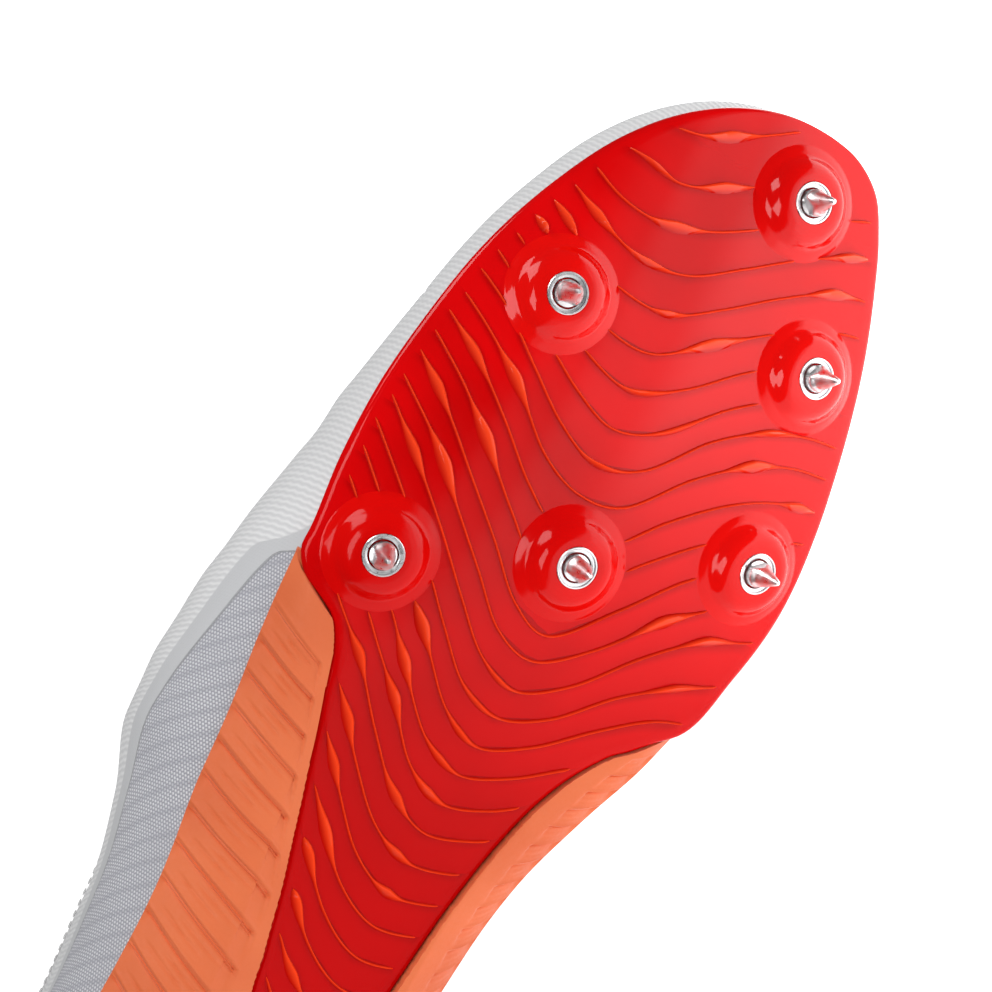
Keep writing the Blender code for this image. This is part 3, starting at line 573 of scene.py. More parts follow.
# %% Recipes for materials
class Nodes:
    """Adds nodes to a tree, with their settings and wires."""

    def add(self, kind, settings=None, **wires):
        node = self.tree.nodes.new(kind)
        for key, value in (settings or {}).items():
            setattr(node, key, value)
        for key, value in wires.items():
            self.wire(value, node.inputs[key.replace("_", " ")])
        return node

    def wire(self, value, socket):
        if isinstance(value, bpy.types.NodeSocket):
            self.tree.links.new(value, socket)
        elif isinstance(value, tuple) and len(value) < len(socket.default_value):
            socket.default_value = (*value, 1.0)
        else:
            socket.default_value = value

    def math(self, operation, a, b=0.0):
        node = self.tree.nodes.new("ShaderNodeMath")
        node.operation = operation
        self.wire(a, node.inputs[0])
        self.wire(b, node.inputs[1])
        return node.outputs[0]

    def plus(self, a, b):
        return self.math("ADD", a, b)

    def minus(self, a, b):
        return self.math("SUBTRACT", a, b)

    def times(self, a, b):
        return self.math("MULTIPLY", a, b)


class Recipe(Nodes):
    """One Principled material and the nodes that feed it."""

    def __init__(self, name, colour, roughness, **settings):
        self.material = bpy.data.materials.new(name)
        self.material.use_nodes = True
        self.tree = self.material.node_tree
        self.shader = self.tree.nodes["Principled BSDF"]
        self.shader.inputs["Base Color"].default_value = (*colour, 1.0)
        self.shader.inputs["Roughness"].default_value = roughness
        for socket, value in settings.items():
            self.shader.inputs[socket.replace("_", " ")].default_value = value

    def mix(self, share, a, b):
        node = self.tree.nodes.new("ShaderNodeMix")
        node.data_type = "RGBA"
        self.wire(share, node.inputs["Factor"])
        self.wire(a, node.inputs[6])
        self.wire(b, node.inputs[7])
        return node.outputs[2]

    def span(self, value, low, high, out_low=0.0, out_high=1.0):
        node = self.tree.nodes.new("ShaderNodeMapRange")
        node.interpolation_type = "SMOOTHSTEP"
        for key, wired in (("Value", value), ("From Min", low), ("From Max", high),
                           ("To Min", out_low), ("To Max", out_high)):
            self.wire(wired, node.inputs[key])
        return node.outputs[0]

    def noise(self, where, scale, detail=3.0, roughness=0.5):
        node = self.add("ShaderNodeTexNoise", Vector=where)
        node.inputs["Scale"].default_value = scale
        node.inputs["Detail"].default_value = detail
        node.inputs["Roughness"].default_value = roughness
        return node.outputs["Fac"]

    def place(self):
        return self.add("ShaderNodeTexCoord").outputs["Object"]

    def metres(self):
        """The UV map in metres, as two numbers."""
        uv = self.add("ShaderNodeUVMap", {"uv_map": "metres"}).outputs[0]
        parts = self.add("ShaderNodeSeparateXYZ", Vector=uv)
        return parts.outputs[0], parts.outputs[1]

    def attribute(self, name):
        return self.add("ShaderNodeAttribute", {"attribute_name": name}).outputs["Fac"]

    def bump(self, height, distance, strength=1.0, under=None):
        node = self.tree.nodes.new("ShaderNodeBump")
        node.inputs["Strength"].default_value = strength
        node.inputs["Distance"].default_value = distance
        self.wire(height, node.inputs["Height"])
        if under is not None:
            self.wire(under, node.inputs["Normal"])
        return node.outputs[0]

    def finish(self, colour=None, roughness=None, normal=None):
        for value, socket in ((colour, "Base Color"), (roughness, "Roughness"), (normal, "Normal")):
            if value is not None:
                self.wire(value, self.shader.inputs[socket])
        return self.material


# %% [markdown]
# ## The glossy red finish
# The plate is a stiff plastic moulding with a clear, wet-looking skin. Its colour comes from
# deep inside, so thin places such as the ribs look more orange; the ribs' orange crests are also
# a painted highlight. A saturated base colour with a clear coat gives both the depth and the
# bright window of light on the medial side. Painted shade deepens the red towards the plate's
# tail and just behind each rib.

# %% Red plastic
def red_plastic(name, colour, deep, ribbed=False, crest_highlight=None):
    recipe = Recipe(name, colour, 0.16, Coat_Roughness=0.04, Coat_IOR=1.42, Specular_IOR_Level=0.04)
    where = recipe.place()
    along = recipe.add("ShaderNodeSeparateXYZ", Vector=where).outputs[0]
    recipe.wire(recipe.span(along, -0.040, 0.100, 0.08, 0.62), recipe.shader.inputs["Coat Weight"])
    cloud = recipe.noise(where, 22.0, 2.0)
    # Painted shade: the red is deepened towards the plate's tail (low x in the laid-down frame),
    # where the plate catches less light.
    painted_shade_ramp = recipe.span(along, -0.050, 0.060, 0.15, 1.0)
    tone = recipe.mix(recipe.times(recipe.span(cloud, 0.30, 0.60), painted_shade_ramp), deep, colour)
    grain = recipe.noise(where, 160.0, 2.0)
    normal = recipe.bump(grain, 0.00003, 0.3)
    if ribbed:
        phase = recipe.attribute("phase")
        step = recipe.math("FRACT", phase)
        hollow = recipe.times(step, recipe.minus(1.0, step))
        skew = recipe.plus(recipe.times(hollow, -3.0), recipe.times(step, 0.5))
        tame = recipe.attribute("open")
        normal = recipe.bump(recipe.times(skew, tame), 0.00042, 0.55, under=normal)
        # Painted shadow: the open plate is darkened just behind each rib.
        shade = recipe.times(recipe.span(step, 0.30, 0.0), tame)
        tone = recipe.mix(recipe.times(shade, 0.6), tone, (0.34, 0.0006, 0.0012))
    # Painted highlight: each rib's crest is coloured orange, shading down to deep red at its foot;
    # part of the orange is real translucency.
    if crest_highlight:
        crest = recipe.math("POWER", recipe.attribute("crest"), 1.5)
        tone = recipe.mix(crest, deep, crest_highlight)
    return recipe.finish(
        colour=tone,
        roughness=recipe.span(grain, 0.3, 0.7, 0.12, 0.20),
        normal=normal,
    )


PLATE_RED = red_plastic("plate_red", (0.70, 0.0010, 0.0020), (0.52, 0.0004, 0.0008), ribbed=True)
DOME_RED = red_plastic("dome_red", (0.74, 0.0030, 0.0020), (0.60, 0.0010, 0.0010))
# The ribs carry a painted highlight on their crests.
RIB_RED = red_plastic("rib_red", (0.8, 0.01, 0.004), (0.50, 0.001, 0.001),
                      crest_highlight=(1.0, 0.070, 0.016))
print("made", PLATE_RED.name, DOME_RED.name, RIB_RED.name)


# %% [markdown]
# ## The plate
# The real plate is one stiff sheet, 2 mm thick, crowned from side to side and sprung up at the
# toe. A flat shape could be extruded and bent, but the sheet is easier as lines across it from
# edge to edge, each point at its own height. Its rim is rounded, as moulded plastic is.

# %% The plate
PLATE_LINES = 260
PLATE_ACROSS = 16
# Rounding of the rim: distance in from the edge, and share of the thickness.
RIM = (
    (0.0000, 0.50),
    (0.0002, 0.78),
    (0.0006, 0.93),
    (0.0012, 1.00),
)


def plate_line(share):
    """Closed loop across the plate at one share of its two sides."""
    lateral, medial = PLATE.point("lateral", share), PLATE.point("medial", share)
    width = max((medial - lateral).length, 1e-9)
    places = [inset / width for inset, _ in RIM]
    places += list(np.linspace(places[-1], 0.5, PLATE_ACROSS)[1:])
    depths = [depth for _, depth in RIM] + [1.0] * (PLATE_ACROSS - 1)
    spots = [(min(place, 0.5), depth) for place, depth in zip(places, depths)]
    spots += [(1.0 - p, d) for p, d in reversed(spots[:-1])]
    under, over = [], []
    for p, d in spots:
        at = lateral.lerp(medial, p)
        base = float(plate_under(at.x, at.y))
        middle = base + PLATE_THICKNESS / 2
        half = (d - 0.5) * PLATE_THICKNESS
        under.append((at.x, at.y, middle - half))
        over.append((at.x, at.y, middle + half))
    return under + over[::-1]


def crowded(count, crowd=0.85):
    steps = np.linspace(0.0, 1.0, count)
    return crowd * (0.5 - 0.5 * np.cos(math.pi * steps)) + (1.0 - crowd) * steps


plate_lines = [plate_line(share) for share in crowded(PLATE_LINES)]
plate = grid_mesh("plate_skin", plate_lines, closed=True)
keep_sharp(plate, 60)
dress(plate, PLATE_RED, stands_for=["spike_plate"])

# %% [markdown]
# ## The domes
# Each spike stands in a round boss with a flat top, a round shoulder and a small fillet where
# it grows out of the plate. A turned profile makes it, and each point is then shifted by how
# far the crowned plate falls away from the boss's own plane, so that its foot lies on the plate.

# %% The domes
DOME_FOOT = 0.0122
DOME_RINGS = 44
DOME_FACETS = 72
DOME = Chart(
    "radius height",
    (0.0000, 3.80),
    (0.0042, 3.80),
    (0.0054, 3.74),
    (0.0066, 3.45),
    (0.0076, 2.90),
    (0.0084, 2.15),
    (0.0090, 1.45),
    (0.0096, 0.95),
    (0.0104, 0.62),
    (0.0111, 0.30),
    (0.0116, 0.06),
    (0.0122, -0.10),
)


def make_dome(number):
    place = spike_place(number)
    out = place.to_3x3().col[2]
    radii = [0.0, SEAT_BORE, SEAT_RADIUS + GAP / 2]
    radii += list(np.linspace(SEAT_RADIUS + GAP, DOME_FOOT, DOME_RINGS))
    lines = []
    for i, radius in enumerate(radii):
        line = []
        for turn in np.linspace(0.0, math.tau, DOME_FACETS, endpoint=False):
            spot = place @ Vector((radius * math.cos(turn), radius * math.sin(turn), 0.0))
            fall = spot.z - float(plate_under(spot.x, spot.y))
            height = float(DOME.read("height", radius)) * MM
            if i < 2:
                height = DOME_HEIGHT - SEAT_HEIGHT - GAP
            line.append(spot + out * (fall * ease(radius, SEAT_RADIUS, DOME_FOOT) + height))
        lines.append(line)
    return grid_mesh(f"dome_{number}", lines, closed=True, outward=place @ Vector((0, 0, -0.02)))


for number in SPIKES:
    dome = make_dome(number)
    keep_sharp(dome, 50)
    dress(dome, DOME_RED)

# %% [markdown]
# ## The chart of the wave ribs
# Thin ribs run over the whole plate like the lines of a current. They leave the lateral edge
# inwards and towards the heel, turn in a valley near the middle and run towards the toe on the
# medial side. They are one family, so a chart gives the place of every third or second rib
# along a few lengthwise lines, and the ribs between them are read from it. Here and there a
# rib swells into a leaf, and a second short list says where.

# %% Rib chart
RIB_LINES = np.array([-45, -35, -25, -15, -5, 5, 15, 25, 35, 45]) * MM
RIB_CHART = {
    1: (270.0, 269.5, 269.3, 271.1, 276.5, 283.2, 290.0, 295.0, 299.0, 301.0),
    2: (262.0, 261.3, 261.4, 260.6, 265.2, 271.5, 278.2, 284.0, 288.0, 290.0),
    3: (260.5, 256.2, 252.3, 252.0, 255.6, 261.6, 268.4, 273.9, 277.0, 279.0),
    4: (255.5, 250.1, 245.9, 243.9, 246.0, 252.8, 260.0, 265.9, 269.5, 271.0),
    5: (249.0, 244.3, 239.2, 236.6, 237.5, 244.0, 251.6, 257.8, 260.8, 262.0),
    6: (243.8, 238.9, 232.5, 228.7, 229.0, 236.0, 243.4, 249.7, 253.3, 254.6),
    8: (232.8, 227.2, 220.9, 215.4, 212.6, 217.0, 227.0, 234.0, 237.8, 239.5),
    9: (227.2, 222.3, 215.1, 208.4, 205.0, 208.7, 219.9, 227.0, 230.9, 232.6),
    10: (221.5, 216.2, 209.5, 201.7, 198.3, 200.5, 211.5, 219.5, 224.1, 226.0),
    12: (211.4, 205.0, 197.0, 188.8, 181.8, 182.3, 193.0, 202.3, 208.7, 211.9),
    13: (206.2, 198.8, 190.4, 182.3, 174.0, 171.5, 182.3, 193.9, 201.0, 204.5),
    14: (200.2, 193.2, 184.4, 176.0, 167.8, 165.7, 173.3, 184.5, 192.5, 198.0),
    15: (195.5, 187.3, 178.8, 169.8, 161.8, 158.8, 165.0, 176.3, 184.8, 189.3),
    16: (189.6, 181.2, 172.7, 163.4, 155.2, 152.5, 157.3, 167.2, 174.0, 179.2),
    17: (184.3, 175.5, 166.9, 157.9, 149.3, 145.5, 150.5, 159.3, 166.5, 170.0),
    18: (178.5, 169.5, 160.5, 150.8, 142.3, 138.9, 143.0, 150.3, 157.0, 160.0),
    19: (172.8, 163.8, 154.6, 146.0, 136.3, 132.3, 135.4, 142.0, 148.0, 151.0),
    20: (166.5, 157.5, 149.3, 139.0, 129.9, 125.6, 128.3, 134.0, 139.0, 142.0),
    21: (160.0, 151.0, 142.4, 131.8, 122.9, 118.9, 120.7, 126.0, 131.0, 134.0),
    22: (154.0, 145.0, 136.0, 125.4, 116.0, 111.7, 113.5, 118.5, 123.0, 126.0),
    24: (141.0, 132.0, 122.6, 112.8, 102.9, 98.0, 99.5, 104.0, 108.0, 111.0),
    28: (115.0, 106.0, 96.0, 86.0, 76.0, 71.0, 72.0, 76.0, 80.0, 83.0),
}
RIB_COUNT = 27
CHART_RIBS = np.array(sorted(RIB_CHART))
CHART_ROWS = np.array([RIB_CHART[rib] for rib in CHART_RIBS]) * MM

# Leaves: rib, place across in mm, length in mm, width in mm, lean of the ridge.
LEAVES = (
    (1, -9.5, 13, 2.3, 0.2), (2, -21.0, 11, 1.1, 0.3), (2, -6.3, 12, 2.2, -0.2),
    (3, -12.0, 14, 2.2, 0.3), (4, -27.4, 11, 2.1, -0.3), (4, -14.0, 13, 1.5, 0.0),
    (4, 26.0, 12, 2.0, -0.3), (5, -32.5, 9, 2.0, -0.3), (5, -5.6, 9, 1.5, 0.2),
    (5, 26.0, 12, 2.3, -0.3), (6, -36.0, 8, 1.9, -0.3), (6, 6.0, 14, 2.4, 0.3),
    (7, -3.0, 13, 1.4, 0.0), (8, 7.0, 12, 1.2, 0.0), (9, -4.0, 13, 1.2, 0.0),
    (9, 27.0, 13, 1.7, -0.2), (10, -27.5, 12, 2.4, 0.3), (10, 26.5, 12, 2.5, -0.2),
    (11, -37.0, 12, 2.1, -0.3), (11, 40.5, 10, 2.0, 0.2), (12, -27.0, 13, 2.7, 0.3),
    (13, -40.0, 11, 2.2, 0.0), (14, -31.5, 13, 2.6, 0.3), (14, 25.5, 12, 2.6, -0.3),
    (15, -38.0, 11, 2.1, 0.0), (15, 37.0, 13, 2.0, 0.2), (15, 1.0, 12, 1.2, 0.0),
    (16, 36.0, 14, 1.8, 0.2), (16, 0.0, 14, 1.3, 0.0), (17, -18.6, 10, 2.6, 0.3),
    (17, 0.5, 12, 1.5, 0.0), (18, -17.8, 10, 2.4, 0.3), (18, 0.0, 12, 1.6, 0.2),
    (19, -15.4, 10, 2.3, 0.3), (19, 1.5, 12, 1.9, 0.2), (20, -26.3, 9, 2.2, 0.3),
    (20, -4.0, 11, 2.1, 0.3), (21, -21.0, 9, 2.2, 0.3), (21, 2.5, 10, 1.9, 0.3),
    (22, -18.6, 8, 2.1, 0.0), (22, 5.0, 9, 2.0, 0.0), (23, -12.6, 12, 2.3, -0.2),
    (24, -13.5, 9, 2.1, 0.0), (25, -11.0, 9, 2.0, 0.0), (26, -5.0, 9, 2.0, 0.0),
)
EDGE_BORDER = 0.0022
RIB_HALF_SPAN = 0.052
RIB_STEP = 0.0006
BORDER_CORNERS = 160
DOME_CLEAR = 0.0112


def rib_x(number, y):
    """Place along the shoe of a rib at a distance from the middle line."""
    column = np.array([np.interp(number, CHART_RIBS, places) for places in CHART_ROWS.T])
    slopes = np.gradient(column, RIB_LINES)
    i = int(np.clip(np.searchsorted(RIB_LINES, y) - 1, 0, len(RIB_LINES) - 2))
    span = RIB_LINES[i + 1] - RIB_LINES[i]
    t = (y - RIB_LINES[i]) / span
    bend = span * (t * (1 - t) ** 2 * slopes[i] - t * t * (1 - t) * slopes[i + 1])
    return column[i] * (1 - t) ** 2 * (1 + 2 * t) + column[i + 1] * t * t * (3 - 2 * t) + bend


def border_loop(inset):
    """Corners of the plate's outline, drawn in by the smooth border."""
    shares = crowded(BORDER_CORNERS)
    lateral = [PLATE.inset("lateral", s, inset).to_2d() for s in shares]
    medial = [PLATE.inset("medial", s, inset).to_2d() for s in shares[::-1]]
    return np.array(lateral + medial)


def is_inside(loop, x, y):
    after = np.roll(loop, -1, axis=0)
    crosses = (loop[:, 1] > y) != (after[:, 1] > y)
    rise = np.where(after[:, 1] == loop[:, 1], 1.0, after[:, 1] - loop[:, 1])
    at = loop[:, 0] + (y - loop[:, 1]) / rise * (after[:, 0] - loop[:, 0])
    return bool(np.count_nonzero(crosses & (x < at)) % 2)


def clear_of_domes(x, y):
    for along, across in SPIKES.values():
        if math.hypot(x - along * LENGTH, y - across * BALL_WIDTH / 2) < DOME_CLEAR:
            return False
    return True


def rib_runs():
    """Stretches of every rib that lie on the open plate, as lists of (rib, x, y)."""
    loop = border_loop(EDGE_BORDER)
    runs = []
    for rib in range(1, RIB_COUNT + 1):
        run = []
        for y in np.arange(-RIB_HALF_SPAN, RIB_HALF_SPAN, RIB_STEP):
            x = rib_x(rib, y)
            if is_inside(loop, x, y) and clear_of_domes(x, y):
                run.append((rib, x, y))
            elif run:
                runs.append(run)
                run = []
        if run:
            runs.append(run)
    return [run for run in runs if len(run) > 4]


RUNS = rib_runs()
print(len(RUNS), "stretches of rib")


# %% [markdown]
# Between two ribs the plate is faintly hollow, and painted shadow darkens it just behind each rib.
# The plate's own points therefore learn at which rib number they lie, and how open the plate is
# there.

# %% Rib numbers on the plate
def rib_number(x, y):
    """Number of the rib at a place, with its share of the way to the next."""
    column = [-np.interp(y, RIB_LINES, row) for row in CHART_ROWS]
    return float(np.interp(-x, column, CHART_RIBS))


def number_the_plate():
    loop = border_loop(EDGE_BORDER)
    back = LAY.inverted()
    numbers, openness = [], []
    for vert in plate.data.vertices:
        spot = back @ vert.co
        numbers.append(rib_number(spot.x, spot.y))
        free = is_inside(loop, spot.x, spot.y) and clear_of_domes(spot.x, spot.y)
        openness.append(float(free and 0.07 < spot.x < 0.27))
    store_numbers(plate.data, "phase", numbers)
    store_numbers(plate.data, "open", openness)


number_the_plate()


# %% [markdown]
# ## The ribs by Geometry Nodes
# Each stretch of rib is a thin polyline whose points know their width, their rise, the lean of
# their ridge and two directions: out of the plate and across the rib. The node tree sweeps a
# ring of points along the line and then sets every point by these numbers. A bevelled curve
# would be round; this way a leaf can be wide and low, with its ridge off the middle.

# %% Lines of the ribs
RIB_WIDTH = 0.00066
RIB_RISE = 0.0009
LEAF_RISE = 0.0014
LEAF_WIDER = 1.12
RIB_TAPER = 0.0016
RIB_SLOPE_STEP = 0.0005
LINE_FACTS = ("width", "rise", "lean", "outwards", "sideways", "centre", "across", "over")


def rib_sizes(rib, y, run_in, run_out):
    """Width, rise and lean of a rib at one place, with its ends and its leaves."""
    end = min(run_in, run_out)
    taper = math.sqrt(float(between(end, 0.0, RIB_TAPER)))
    width, rise, lean = RIB_WIDTH, RIB_RISE, 0.0
    for leaf, place, length, wide, shift in LEAVES:
        if leaf != rib:
            continue
        off = abs(y - place * MM) / (length * MM / 2.1)
        if off < 1.0:
            swell = (1.0 - off) ** 1.15 * (1.0 + 0.25 * math.sin(math.pi * off))
            width += (wide * LEAF_WIDER * MM - RIB_WIDTH) * swell
            rise += (LEAF_RISE - RIB_RISE) * swell
            lean += (0.55 + 0.3 * shift) * swell
    return width * (0.35 + 0.65 * taper), rise * taper, lean


def rib_lines():
    """Polylines of all the ribs, with their named numbers on each point."""
    verts, edges = [], []
    facts = {"width": [], "rise": [], "lean": [], "outwards": [], "sideways": []}
    for run in RUNS:
        spots = [Vector((x, y, float(plate_under(x, y)))) for _, x, y in run]
        lengths = run_lengths(spots)
        for i, spot in enumerate(spots):
            if i:
                edges.append((len(verts) - 1, len(verts)))
            verts.append(spot)
            ahead = (spots[min(i + 1, len(spots) - 1)] - spots[max(i - 1, 0)]).normalized()
            out = Vector((*plate_slopes(spot.x, spot.y, RIB_SLOPE_STEP), -1.0)).normalized()
            width, rise, lean = rib_sizes(run[i][0], spot.y, lengths[i], lengths[-1] - lengths[i])
            facts["width"].append(width)
            facts["rise"].append(rise)
            facts["lean"].append(lean)
            facts["outwards"].append(out)
            facts["sideways"].append(out.cross(ahead).normalized())
    mesh = bpy.data.meshes.new("rib_lines")
    mesh.from_pydata(verts, edges, [])
    for name, values in facts.items():
        store_numbers(mesh, name, values)
    return place_object("rib_lines", mesh)


# %% The tree that sweeps them
class Tree(Nodes):
    """Geometry node tree with named inputs."""

    def __init__(self, name, *inputs):
        self.tree = bpy.data.node_groups.new(name, "GeometryNodeTree")
        sockets = self.tree.interface
        sockets.new_socket("Geometry", in_out="INPUT", socket_type="NodeSocketGeometry")
        sockets.new_socket("Geometry", in_out="OUTPUT", socket_type="NodeSocketGeometry")
        for label, kind in inputs:
            sockets.new_socket(label, in_out="INPUT", socket_type=kind)
        self.start = self.tree.nodes.new("NodeGroupInput")
        self.end = self.tree.nodes.new("NodeGroupOutput")

    def given(self, label):
        return self.start.outputs[label]

    def vector(self, operation, a, b=None, scale=None):
        node = self.tree.nodes.new("ShaderNodeVectorMath")
        node.operation = operation
        self.wire(a, node.inputs[0])
        if b is not None:
            self.wire(b, node.inputs[1])
        if scale is not None:
            self.wire(scale, node.inputs["Scale"])
        return node.outputs[0]

    def named(self, name, kind="FLOAT"):
        node = self.add("GeometryNodeInputNamedAttribute", {"data_type": kind}, Name=name)
        return node.outputs[0]

    def store(self, geometry, name, value, kind="FLOAT"):
        node = self.add("GeometryNodeStoreNamedAttribute", {"data_type": kind, "domain": "POINT"},
                        Geometry=geometry, Name=name)
        self.wire(value, node.inputs["Value"])
        return node.outputs[0]

    def close(self, geometry):
        """Smooth, make real, give the material and end."""
        shaded = self.add("GeometryNodeSetShadeSmooth", Geometry=geometry, Shade_Smooth=True)
        real = self.add("GeometryNodeRealizeInstances", Geometry=shaded.outputs[0])
        dressed = self.add("GeometryNodeSetMaterial", Geometry=real.outputs[0],
                           Material=self.given("Material"))
        self.tree.links.new(dressed.outputs[0], self.end.inputs[0])
        return self.tree


def grow(source, tree, name, **values):
    """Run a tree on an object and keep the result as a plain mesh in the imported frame."""
    modifier = source.modifiers.new(name, "NODES")
    modifier.node_group = tree
    for item in tree.interface.items_tree:
        label = item.name.replace(" ", "_")
        if item.in_out == "INPUT" and label in values:
            modifier[item.identifier] = values[label]
    graph = bpy.context.evaluated_depsgraph_get()
    graph.update()
    mesh = bpy.data.meshes.new_from_object(source.evaluated_get(graph))
    mesh.name = name
    bpy.data.objects.remove(source, do_unlink=True)
    for layer in list(mesh.attributes):
        if layer.name in LINE_FACTS:
            mesh.attributes.remove(layer)
    mesh.transform(LAY)
    return place_object(name, mesh)


def rib_tree():
    tree = Tree("sweep_ribs", ("Ring Points", "NodeSocketInt"), ("Root", "NodeSocketFloat"),
                ("Crown", "NodeSocketFloat"), ("Material", "NodeSocketMaterial"))
    line = tree.add("GeometryNodeMeshToCurve", Mesh=tree.given("Geometry")).outputs[0]
    here = tree.add("GeometryNodeInputPosition").outputs[0]
    line = tree.store(line, "centre", here, "FLOAT_VECTOR")
    ring = tree.add("GeometryNodeCurvePrimitiveCircle", Resolution=tree.given("Ring Points"),
                    Radius=1.0)
    parts = tree.add("ShaderNodeSeparateXYZ", Vector=here)
    ring = tree.store(ring.outputs[0], "across", parts.outputs[0])
    ring = tree.store(ring, "over", parts.outputs[1])
    small = tree.add("GeometryNodeSetCurveRadius", Curve=line, Radius=RIB_WIDTH / 2)
    swept = tree.add("GeometryNodeCurveToMesh", Curve=small.outputs[0], Profile_Curve=ring,
                     Fill_Caps=True)
    across = tree.named("across")
    fall = tree.math("POWER", tree.math("ABSOLUTE", across), tree.given("Crown"))
    is_top = tree.math("GREATER_THAN", tree.named("over"), -0.01)
    # The crest share marks the top of each rib for its painted highlight.
    crest = tree.times(tree.minus(1.0, fall), is_top)
    swept = tree.store(swept.outputs[0], "crest", crest)
    bow = tree.minus(1.0, tree.times(across, across))
    shift = tree.plus(across, tree.times(tree.named("lean"), bow))
    shift = tree.times(shift, tree.times(tree.named("width"), 0.5))
    height = tree.minus(tree.times(tree.named("rise"), crest), tree.given("Root"))
    place = tree.vector("ADD", tree.named("centre", "FLOAT_VECTOR"),
                        tree.vector("SCALE", tree.named("sideways", "FLOAT_VECTOR"), scale=shift))
    place = tree.vector("ADD", place,
                        tree.vector("SCALE", tree.named("outwards", "FLOAT_VECTOR"), scale=height))
    set_place = tree.add("GeometryNodeSetPosition", Geometry=swept, Position=place)
    return tree.close(set_place.outputs[0])


ribs = grow(rib_lines(), rib_tree(), "wave_ribs", Ring_Points=12, Root=0.00006, Crown=1.5,
            Material=RIB_RED)
keep_sharp(ribs, 80)
dress(ribs, RIB_RED)

# %% [markdown]
# ## Spikes and their seats
# A steel seat is pressed into each boss, and a spike is screwed into it. Both are turned parts,
# so a profile spun about the spike's axis makes them. Two wrench flats are milled on the
# spike's collar. Steel shows fine turning marks; a fine noise bump stands in for them.

# %% Bright steel
def steel(name, tone, roughness):
    recipe = Recipe(name, tone, roughness, Metallic=1.0)
    where = recipe.place()
    fine = recipe.noise(where, 900.0, 2.0)
    patch = recipe.noise(where, 140.0, 2.0)
    return recipe.finish(
        colour=recipe.mix(recipe.span(patch, 0.3, 0.7), tone, tuple(c * 0.86 for c in tone)),
        roughness=recipe.span(fine, 0.3, 0.7, roughness * 0.8, roughness * 1.4),
        normal=recipe.bump(fine, 0.00002, 0.5),
    )


SEAT_STEEL = steel("seat_steel", (0.86, 0.87, 0.88), 0.30)
SPIKE_STEEL = steel("spike_steel", (0.90, 0.88, 0.89), 0.34)
# Turned sections: radius and height over the dome's top, in metres.
SEAT_SECTION = (
    (0.0030, -0.0013),
    (0.0030, -0.0008),
    (0.0031, -0.0004),
    (0.0034, -0.0003),
    (0.00365, -0.0003),
    (0.0037, -0.0005),
    (0.0038, -0.0005),
    (0.00385, 0.0000),
    (0.0039, 0.0001),
    (0.0041, 0.0001),
    (0.0042, 0.0000),
    (0.0042, -0.0013),
    (0.0030, -0.0013),
)
SPIKE_SECTION = (
    (0.0000, -0.0010),
    (0.0027, -0.0010),
    (0.0027, -0.0002),
    (0.00272, 0.0000),
    (0.00272, 0.0012),
    (0.00265, 0.0014),
    (0.00225, 0.0019),
    (0.00205, 0.0023),
    (0.00150, 0.0040),
    (0.00090, 0.0059),
    (0.00052, 0.0070),
    (0.00036, 0.0072),
    (0.00000, 0.0072),
)
# Wrench flats: lowest and highest place, and half the width across them.
SPIKE_FLATS = (-0.0001, 0.0019, 0.0020)
TURNED_FACETS = 56

for number in SPIKES:
    place = spike_place(number) @ Matrix.Translation((0.0, 0.0, DOME_HEIGHT))
    rings = turned_points(SEAT_SECTION, TURNED_FACETS)
    seat = grid_mesh(f"seat_{number}", [[place @ p for p in ring] for ring in rings], closed=True)
    keep_sharp(seat, 35)
    dress(seat, SEAT_STEEL, stands_for=[f"spike_seat_{number}"])
    place = place @ Matrix.Rotation(number * SPIKE_TURN, 4, "Z")
    rings = turned_points(SPIKE_SECTION, TURNED_FACETS, SPIKE_FLATS)
    rings = [[place @ p for p in ring] for ring in rings]
    spike = grid_mesh(f"screw_spike_{number}", rings, closed=True)
    keep_sharp(spike, 30)
    dress(spike, SPIKE_STEEL, stands_for=[f"spike_{number}"])


# %% [markdown]
# ## The foam rails
# The orange foam wraps the heel and runs forward as two rails. Its slanted face is pressed in
# shingles: a deep line, a small crest beside it, a long slope, and two shallow lines on it.
# Painted shade darkens the lines and a painted highlight lightens the crests.
# Displacing a plain wedge would smear such lines, so the depth is a function of the place
# in one rib's pitch and of the way down the face. The grid's lines lie 0.3 mm apart, which
# holds the grooves and softens the narrow crests.

# %% Matte foam
def foam():
    recipe = Recipe("foam_orange", (0.74, 0.15, 0.045), 0.62, Specular_IOR_Level=0.35,
                    Sheen_Weight=0.12)
    where = recipe.place()
    cloud = recipe.noise(where, 30.0, 3.0)
    pores = recipe.noise(where, 1400.0, 3.0, 0.6)
    depth = recipe.attribute("groove")
    tone = recipe.mix(recipe.span(cloud, 0.35, 0.65), (0.70, 0.140, 0.042), (0.77, 0.170, 0.055))
    # Painted shade: the pressed lines are darkened, most of all where they stop on the face.
    tone = recipe.mix(recipe.span(depth, 0.1, 0.9), tone, (0.52, 0.055, 0.010))
    # Painted highlight: the crest beside each line is lightened.
    crest = recipe.attribute("crest")
    tone = recipe.mix(recipe.span(crest, 0.2, 1.0), tone, (0.95, 0.34, 0.14))
    return recipe.finish(
        colour=tone,
        roughness=recipe.span(pores, 0.3, 0.7, 0.52, 0.70),
        normal=recipe.bump(pores, 0.00006, 0.5, under=recipe.bump(cloud, 0.0004, 0.15)),
    )


FOAM = foam()

